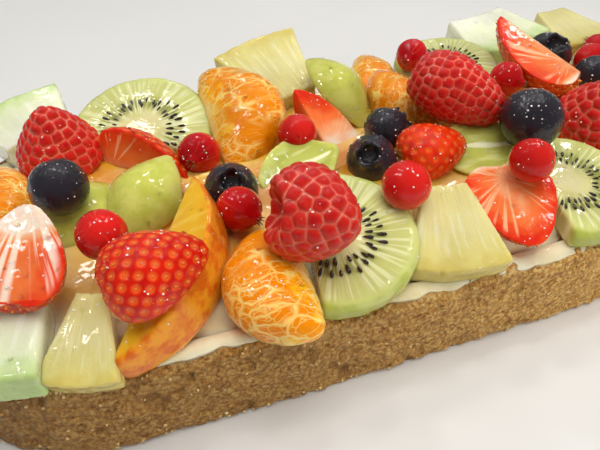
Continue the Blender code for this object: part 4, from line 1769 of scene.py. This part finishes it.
# What sets a single piece of fruit apart from the others of its kind.
VARIANTS: dict[str, dict[str, Any]] = {
    "strawberry_half_1": {"finish": PALE_STRAWBERRY, "pale_tip": True},
    "strawberry_wedge_2": {"pale_base": (0.36, -0.2)},
    "strawberry_2": {"finish": ORANGE_STRAWBERRY},
    "raspberry_1": {"taper": 0.56},
    "raspberry_2": {"notch": (-0.93, 0.2, 0.22)},
    "raspberry_3": {"stretch": 1.5, "taper": 0.2},
}
NUDGES = {
    "mandarin_2": Nudge(1.12, (0.5, -2.3, 0.0)),
    "mandarin_5": Nudge(1.15, (2.5, -0.9, 0.0)),
    "kiwi_slice_1": Nudge(1.12, (-1.7, -4.7, -0.5)),
    "kiwi_slice_2": Nudge(1.06, (0.7, 1.8, 0.0)),
    "melon_chunk_1": Nudge(1.0, (2.4, -0.9, 0.0)),
    "melon_chunk_2": Nudge(1.1, (-2.4, 1.0, 0.0)),
    "melon_wedge_1": Nudge(1.0, (1.2, 0.0, 0.0)),
    "pineapple_wedge_1": Nudge(0.92, (0.0, -0.5, 0.0)),
    "grape_half_1": Nudge(1.25, (-1.6, -1.4, 1.2)),
    "grape_half_2": Nudge(1.15, (0.0, 0.7, 0.8)),
    "grape_half_3": Nudge(1.12, (0.3, -1.6, 0.0)),
    "grape_half_4": Nudge(1.15, (0.6, 1.6, 0.5)),
    "grape_half_5": Nudge(1.15, (-3.3, 0.2, 0.5)),
    "strawberry_1": Nudge(0.95, (-0.4, -0.8, 0.0)),
    "strawberry_2": Nudge(1.08, (-0.4, -1.4, 0.0)),
    "strawberry_half_1": Nudge(0.88, (-0.8, -2.6, -1.4)),
    "strawberry_wedge_1": Nudge(1.12, (0.0, 0.0, 0.8)),
    "strawberry_wedge_2": Nudge(1.25, (4.0, -3.6, 0.5)),
    "strawberry_wedge_3": Nudge(1.05, (1.2, -2.0, 0.0)),
    "raspberry_2": Nudge(0.95, (-0.8, -1.0, 0.0)),
    "raspberry_3": Nudge(1.0, (0.0, 0.0, 1.5)),
    "blueberry_6": Nudge(1.0, (-3.3, -0.6, 0.0)),
}


@dataclass(frozen=True)
class Loose:
    """A small piece of fruit that fills a gap at the far end and stands for no CAD node."""

    kind: Kind
    size: float
    x: float
    y: float
    heading: float
    lean: float
    towards: float
    roll: float
    sink: float = 0.8

    def rested(self, ground: BVHTree, points: np.ndarray) -> Move:
        """The move that rests a body, built about its own middle, on what lies below it."""
        turn = Placing("", self.kind, self.size, self.heading, self.lean, self.towards, self.roll).turn()
        lying = points @ turn.T + (self.x, self.y, 0.0)
        gaps = []
        for point in lying[:: max(1, len(lying) // 400)]:
            under = ground.ray_cast(Vector((point[0], point[1], 100.0)), Vector((0, 0, -1)))[0]
            gaps.append(point[2] - (under.z if under else 0.0))
        return Move(turn, 1.0, np.array((self.x, self.y, -min(gaps) - self.sink)))


# kind, size; place; heading, lean, towards, roll.
LOOSE = [Loose(*row) for row in (
    (Kind.REDCURRANT, 11, 62, -27, 0, 60, -90, 0),
    (Kind.REDCURRANT, 11, 96, 33, 0, 80, 90, 0),
    (Kind.BLUEBERRY, 14, 88, -27, 0, 30, -70, 0),
    (Kind.REDCURRANT, 12, 127, 9, 0, 90, -10, 0),
    (Kind.BLUEBERRY, 13, 131, -28, 0, 40, 0, 0),
)]


# Case and filling


@dataclass
class Case:
    """The outline of the tart seen from above: a long shape with round corners and slightly bowed sides."""

    length: float = 300.0
    width: float = 103.0
    corner: float = 40.0
    bow: float = 4.5
    wall: float = 7.0
    height: float = 25.0
    floor: float = 5.0

    def outline(self, inset: float, count: int) -> np.ndarray:
        """Points evenly spaced along the outline moved inwards.

        Args:
            inset: how far inwards.
            count: how many points, starting at the middle of the right end.

        Returns:
            A (count, 2) array, anticlockwise.
        """
        half_length, half_width = self.length / 2 - inset, self.width / 2 - inset
        radius = max(self.corner - inset, 3.0)
        across, along = 2 * (half_width - radius), 2 * (half_length - radius)
        arc = math.pi / 2 * radius
        total = 2 * (across + along) + 4 * arc
        points = np.empty((count, 2))
        for i in range(count):
            at = total * i / count
            x, y, aim = half_length, -across / 2, math.pi / 2
            at = (at + across / 2) % total
            for run, bend in ((across, False), (arc, True), (along, False), (arc, True)) * 2:
                step = min(at, run)
                at -= step
                if bend:
                    turn = step / radius
                    x += radius * (math.sin(aim + turn) - math.sin(aim))
                    y -= radius * (math.cos(aim + turn) - math.cos(aim))
                    aim += turn
                else:
                    x += step * math.cos(aim)
                    y += step * math.sin(aim)
                if at <= 0:
                    break
            points[i] = x, y
        middle = 1 - (2 * points[:, 0] / self.length) ** 2
        swell = self.bow * middle * np.minimum(1.0, np.abs(points[:, 1]) / half_width)
        points[:, 1] += np.copysign(swell, points[:, 1])
        return points

    def wavy(self, inset: float, height: float, waviness: float, count: int) -> np.ndarray:
        """One ring of the case at a height, with slow waves in it and in its level."""
        flat = self.outline(inset, count)
        ring = np.column_stack((flat, np.full(count, height)))
        for i, (x, y) in enumerate(flat):
            wave = noise.noise(Vector((x, y, height)) * 0.035 + HAND_SEED)
            level = noise.noise(Vector((x, y, 0.0)) * 0.06 - HAND_SEED)
            ring[i, :2] *= 1 + waviness * wave / self.width
            ring[i, 2] += waviness * level
        return ring


def lofted(rings: Sequence[np.ndarray]) -> Body:
    """A closed solid through rings of equal count, listed from its underside round to its last cap."""
    count = len(rings[0])
    mesh = bpy.data.meshes.new("loft")
    faces = [tuple(range(count - 1, -1, -1))]
    for level in range(len(rings) - 1):
        low, high = level * count, (level + 1) * count
        faces += [(low + i, low + (i + 1) % count, high + (i + 1) % count, high + i) for i in range(count)]
    last = (len(rings) - 1) * count
    faces.append(tuple(range(last, last + count)))
    mesh.from_pydata(np.vstack(rings).tolist(), [], faces)
    mesh.update()
    return Body(mesh)


@dataclass
class Crust:
    """The shortcrust case: a grainy wall with a worn rim and a crumbly foot."""

    case: Case
    finish: Shortcrust = field(default_factory=Shortcrust)
    around: int = 1080
    step: float = 0.75
    coarse: float = 0.45
    medium: float = 0.4
    fine: float = 0.42
    pores: float = 1.0

    def section(self) -> list[tuple[float, float, float]]:
        """The wall's section as (inset, height, waviness), from the foot over the rim and down inside."""
        case = self.case
        knots = [
            (1.0, 0.0, 0.0), (0.0, 1.6, 0.0), (-0.4, 14.0, 0.8), (0.2, case.height - 1.6, 1.0),
            (2.2, case.height, 1.4), (case.wall - 1.2, case.height - 0.2, 1.4),
            (case.wall, case.height - 2.2, 0.0),
        ]
        section = [(18.0, 0.0, 0.0), (5.0, 0.0, 0.0)]
        for start, end in zip(knots, knots[1:]):
            steps = max(2, round(math.dist(start[:2], end[:2]) / self.step))
            section += [
                tuple(a + (b - a) * step / steps for a, b in zip(start, end)) for step in range(steps)
            ]
        inside = [(case.wall, case.height - 8.0, 0.0), (case.wall + 3, case.height - 9.0, 0.0)]
        return section + [knots[-1], *inside]

    def build(self) -> Body:
        """Builds the case.

        Returns:
            The body, with its "worn" mark, and its "hollow" mark for painted shade in pores and sunken spots.
        """
        body = lofted([self.case.wavy(*knot, self.around) for knot in self.section()])
        points, normals = body.points, body.normals
        height = points[:, 2]
        layers = ((self.coarse, 7.0), (self.medium, 2.6), (self.fine, 1.35))
        relief = sum(amount * lumps(points, scale, seed) for seed, (amount, scale) in enumerate(layers, 1))
        pore = smooth_step(0.42, 0.75, lumps(points, 3.1, 4)) * smooth_step(-0.2, 0.5, lumps(points, 14.0, 5))
        foot = smooth_step(1.5, 0.1, height)
        rim = smooth_step(self.case.height - 2.5, self.case.height - 0.3, height)
        free = 1 - smooth_step(0.1, -0.1, height)
        points += normals * ((relief - self.pores * pore) * free)[:, None]
        points[:, 2] = np.maximum(points[:, 2], 0.0)
        body.points = points
        worn = 0.55 * rim * smooth_step(-0.3, 0.5, lumps(points, 9.0, 6))
        worn += foot * smooth_step(-0.2, 0.4, lumps(points, 5.0, 7))
        body.tag("worn", np.clip(worn, 0, 1))
        # The "hollow" mark drives painted shade in the pores and the sunken spots.
        body.tag("hollow", np.clip(pore + 0.5 * smooth_step(0.2, 0.6, -relief), 0, 1))
        outer = smooth_step(-0.3, 0.2, -normals[:, 2] + 0.9) * smooth_step(0.6, 0.9, height)
        body.tag("grit", outer * (0.12 + 1.6 * smooth_step(3.4, 0.9, height) + 0.6 * rim))
        body.mesh.materials.append(self.finish.material())
        return body

    def crumbs(self, body: Body) -> bpy.types.Mesh:
        """Loose grains stuck to the wall, most of them along its foot."""
        copy = body.mesh.copy()
        return Grit().run(copy, Density=0.16, Least=0.2, Most=0.6, Seed=11, Material=CRUMB.material())


@dataclass
class Filling:
    """The cream: a low mound that is drawn up a little wherever fruit sits close above it."""

    case: Case
    finish: PastryCream = field(default_factory=PastryCream)
    around: int = 620
    gap: float = 0.3
    step: float = 0.95
    reach: float = 6.0
    blur_rounds: int = 4
    pool: float = 2.2
    lip: tuple[tuple[float, float], ...] = (
        (6.6, -0.2), (3.4, -0.1), (0.8, -1.3), (0.9, -0.2), (3.2, 0.9), (5.0, 1.3),
    )
    ragged: float = 0.5

    def build(self, above: BVHTree) -> Body:
        """Builds the cream.

        Args:
            above: the fruit, to which the cream is drawn up.

        Returns:
            The body.
        """
        case = self.case
        edge, rim = case.wall + self.gap, case.height
        knots = ((0.0, -1.2), (2.4, 1.2), (11, 3), (26, 5.4), (40, 6))
        insets = np.arange(edge, edge + 40.1, self.step)
        heights = rim + np.interp(insets - edge, *zip(*knots))
        rings = [case.wavy(edge, rim - 1.2, 0.0, self.around)]
        rings += [case.wavy(inset, rim + rise, 0.0, self.around) for inset, rise in self.lip]
        rings += [case.wavy(inset, height, 0.0, self.around) for inset, height in zip(insets, heights)]
        insets = np.concatenate(((edge,), [inset for inset, _ in self.lip], insets))
        grid = np.array(rings)
        edge_ring = grid[3] * (1, 1, 0)
        spill = 0.4 + self.ragged * lumps(edge_ring, 13.0, 23) + self.ragged * lumps(edge_ring, 3.5, 24)
        for level, inwards in ((3, 2), (4, 5)):
            grid[level] += (grid[inwards] - grid[level]) * np.clip(spill, 0, 1)[:, None]
        flat = grid.reshape(-1, 3)
        flat[:, 2] += 0.5 * lumps(flat, 11.0, 21) + 0.22 * lumps(flat, 4.0, 22)
        lift = np.zeros(len(flat))
        up = Vector((0, 0, 1))
        for i, point in enumerate(flat):
            distance = above.ray_cast(Vector(point) - up, up, self.reach + 1.0)[3]
            if distance is not None:
                lift[i] = max(0.0, distance - 1.0) + 0.7
        lift = lift.reshape(grid.shape[:2])
        for _ in range(self.blur_rounds):
            lift = (lift + np.roll(lift, 1, axis=1) + np.roll(lift, -1, axis=1)) / 3
            lift[1:-1] = (lift[1:-1] + lift[:-2] + lift[2:]) / 3
        fade = smooth_step(0.0, 4.0, insets - edge)
        inner = smooth_step(9.0, 18.0, insets - edge)
        grid[:, :, 2] += lift * fade[:, None] + self.pool * inner[:, None]
        foot = case.wavy(edge, case.floor + self.gap, 0.0, self.around)
        body = lofted([foot, *grid])
        pooled = np.repeat(inner, self.around) * (0.85 + np.clip(lift.ravel() / 4, 0, 0.15))
        body.tag("pool", np.concatenate((np.zeros(self.around), np.clip(pooled, 0, 1))))
        body.mesh.materials.append(self.finish.material())
        return body


# Assembly


@dataclass
class Tart:
    """Builds every piece in order and keeps what later pieces need."""

    case: Case = field(default_factory=Case)
    growths: dict[str, Spots] = field(default_factory=dict)
    surfaces: list[bpy.types.Mesh] = field(default_factory=list)

    def gather(self, extras: dict[str, Spots]) -> None:
        """Keeps the spots of small bodies until all fruit is laid."""
        for kind, spots in extras.items():
            self.growths[kind] = self.growths.get(kind, Spots()).joined(spots)

    def lay_fruit(self) -> None:
        """Builds the fruit that has CAD nodes."""
        for seed, placing in enumerate(LAYOUT):
            fruit = replace(FORMS[placing.kind](placing, seed), **VARIANTS.get(placing.node, {}))
            mesh, extras = fruit.build(placing.fitted)
            self.gather(extras)
            self.surfaces.append(show(f"{placing.node}_glazed", mesh, fruit.slot, [placing.node]).data)

    def fill_gaps(self, ground: BVHTree) -> None:
        """Builds the loose fruit at the far end, one piece for each kind."""
        kinds: dict[Kind, list[bpy.types.Mesh]] = {}
        for seed, loose in enumerate(LOOSE):
            fruit = FORMS[loose.kind](Placing("", loose.kind, loose.size, 0, 0, 0, 0), 200 + seed)
            mesh, extras = fruit.build(functools.partial(loose.rested, ground))
            self.gather(extras)
            kinds.setdefault(loose.kind, []).append(mesh)
        for kind, meshes in kinds.items():
            self.surfaces.append(show(f"loose_{kind.value}", joined(meshes), kind.value).data)

    def grow(self) -> None:
        """Builds the seeds and the dried tufts."""
        for kind, finish, size, taper, slot in (
            ("kiwi_seeds", KIWI_SEED, (1.1, 0.42, 0.3), 0.45, "kiwi"),
            ("strawberry_seeds", STRAWBERRY_SEED, (0.5, 0.3, 0.25), 0.35, "strawberry"),
            ("redcurrant_tufts", DRIED_TUFT, (1.1, 0.3, 0.16), 0.7, "redcurrant"),
        ):
            mesh = sprinkler().grow(self.growths[kind], finish, size, taper)
            show(kind, mesh, slot)

    def bead(
        self, name: str, finish: Drop | Speck, count: int, size: tuple[float, float, float], seed: int
    ) -> None:
        """Scatters clear beads of glaze, and likewise white specks that are painted glints, over the upper sides of the
        fruit.

        Args:
            name: the piece's name.
            finish: what they are made of.
            count: how many there are.
            size: half their height, width and length.
            seed: a different number gives different places.
        """
        rng = np.random.default_rng(seed)
        places, aims = [], []
        for mesh in self.surfaces:
            body = Body(mesh)
            points, normals = body.points / MM, body.normals
            upward = np.flatnonzero(normals[:, 2] > 0.15)
            share = round(2 * count * len(upward) / sum(len(other.vertices) for other in self.surfaces))
            picked = rng.choice(upward, min(share, len(upward)), replace=False)
            places.append(points[picked])
            aims.append(normals[picked])
        bulks = rng.uniform(0.35, 1.0, sum(map(len, places))) ** 1.6
        spots = Spots(np.vstack(places), np.vstack(aims), bulks)
        show(name, sprinkler().grow(spots, finish, size, 0.0), "cream")

    def build(self, nodes: dict[str, bpy.types.Object]) -> None:
        """Builds the whole tart around its CAD nodes.

        Args:
            nodes: the CAD nodes by name.
        """
        fruit_nodes = [node for name, node in nodes.items() if name not in ("crust", "cream")]
        cream = Filling(self.case).build(search_tree(fruit_nodes))
        faces = [tuple(face.vertices) for face in cream.mesh.polygons]
        ground = BVHTree.FromPolygons(cream.points.tolist(), faces)
        crust = Crust(self.case)
        wall = crust.build()
        crumbs = crust.crumbs(wall)
        show("baked_crust", wall.mesh, "crust", ["crust"])
        show("crust_crumbs", crumbs, "crust")
        show("set_cream", cream.mesh, "cream", ["cream"])
        self.lay_fruit()
        self.fill_gaps(ground)
        self.grow()
        self.bead("glaze_beads", Drop(), count=700, size=(0.35, 0.7, 0.6), seed=5)
        # Painted highlights: white specks stand for tiny glints on the glaze.
        self.bead("painted_glint_specks", GLINT_SPECK, count=1500, size=(0.2, 0.3, 0.26), seed=6)


def search_tree(nodes: Sequence[bpy.types.Object]) -> BVHTree:
    """A search tree, in millimetres, of CAD nodes."""
    points: list[Vector] = []
    faces: list[tuple[int, ...]] = []
    for node in nodes:
        first = len(points)
        points += [vert.co / MM for vert in node.data.vertices]
        faces += [tuple(first + i for i in face.vertices) for face in node.data.polygons]
    return BVHTree.FromPolygons(points, faces)


@dataclass(frozen=True)
class Lamp:
    """An area light aimed at the tart's middle; glints says whether glossy surfaces mirror it."""

    name: str
    place: Colour
    sides: tuple[float, float]
    power: float
    colour: Colour = (1.0, 0.98, 0.95)
    glints: bool = True

    def hang(self) -> None:
        """Adds the light to the scene."""
        data = bpy.data.lights.new(self.name, "AREA")
        data.shape = "RECTANGLE"
        data.size, data.size_y = self.sides
        data.energy = self.power
        data.color = self.colour
        light = bpy.data.objects.new(self.name, data)
        bpy.context.scene.collection.objects.link(light)
        light.location = self.place
        light.visible_glossy = self.glints
        light.rotation_mode = "QUATERNION"
        light.rotation_quaternion = Vector(self.place).to_track_quat("Z", "Y")


@dataclass
class Studio:
    """The camera, the lights and the pale floor."""

    camera_place: Colour = (-94.3, -129.2, 123.8)
    azimuth: float = -20.57
    elevation: float = 40.0
    lens: float = 33.0
    floor_size: float = 8.0
    surround: Colour = (0.93, 0.96, 1.0)
    surround_strength: float = 0.18
    sparks: int = 10
    spark_depths: Colour = (0.36, 0.1, 0.75)
    spark_forms: tuple[tuple[float, float], ...] = ((0.04, 0.34), (0.085, 0.5))

    def build(self) -> None:
        """Sets up everything that isn't part of the tart."""
        self.camera()
        self.lights()
        self.floor()

    def camera(self) -> None:
        """A camera that looks down along the front of the tart."""
        data = bpy.data.cameras.new("camera")
        data.lens = self.lens
        data.sensor_width = 36.0
        data.sensor_fit = "HORIZONTAL"
        data.clip_start = 0.005
        eye = bpy.data.objects.new("camera", data)
        bpy.context.scene.collection.objects.link(eye)
        turn, rise = math.radians(self.azimuth), math.radians(self.elevation)
        back = Vector((math.sin(turn) * math.cos(rise), -math.cos(turn) * math.cos(rise), math.sin(rise)))
        eye.location = Vector(self.camera_place) * MM
        eye.rotation_mode = "QUATERNION"
        eye.rotation_quaternion = back.to_track_quat("Z", "Y")
        bpy.context.scene.camera = eye
        bpy.context.scene.view_settings.view_transform = "Standard"

    def lights(self) -> None:
        """A pale surround, a broad soft key, and a row of small lamps for crisp glints."""
        world = bpy.data.worlds.new("surround")
        world.use_nodes = True
        background = world.node_tree.nodes["Background"]
        background.inputs["Color"].default_value = (*self.surround, 1.0)
        background.inputs["Strength"].default_value = self.surround_strength
        bpy.context.scene.world = world
        Lamp("key", (-0.05, -0.2, 1.0), (0.6, 0.6), 5.7, (1.0, 0.97, 0.92), glints=False).hang()
        Lamp("front", (0.55, -0.75, 0.42), (0.6, 0.5), 3.8, (1.0, 0.96, 0.9), glints=False).hang()
        for step in range(self.sparks):
            place = (-0.6 + 0.13 * step, self.spark_depths[step % len(self.spark_depths)], 0.8)
            side, power = self.spark_forms[step % len(self.spark_forms)]
            Lamp(f"spark_{step}", place, (side, side), power).hang()

    def floor(self) -> None:
        """A plain pale floor."""
        bm = bmesh.new()
        bmesh.ops.create_grid(bm, x_segments=4, y_segments=4, size=self.floor_size / 2)
        ground = bpy.data.objects.new("floor", mesh_of(bm, "floor"))
        graph = Graph("pale_floor")
        cloud = graph.span(graph.noise(graph.object_place, 6.0, 3.0), 0.3, 0.7)
        graph.settle(Base_Color=graph.blend(cloud, (0.74, 0.735, 0.72), (0.77, 0.765, 0.75)), Roughness=0.6)
        ground.data.materials.append(graph.material)
        bpy.context.scene.collection.objects.link(ground)


def main() -> None:
    """Loads the frame, dresses it, and sets up the camera, the lights and the floor."""
    logging.basicConfig(level=logging.INFO, format="%(name)s %(message)s")
    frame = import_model()
    Tart().build(frame["nodes"])
    Studio().build()


if __name__ == "__main__":
    main()
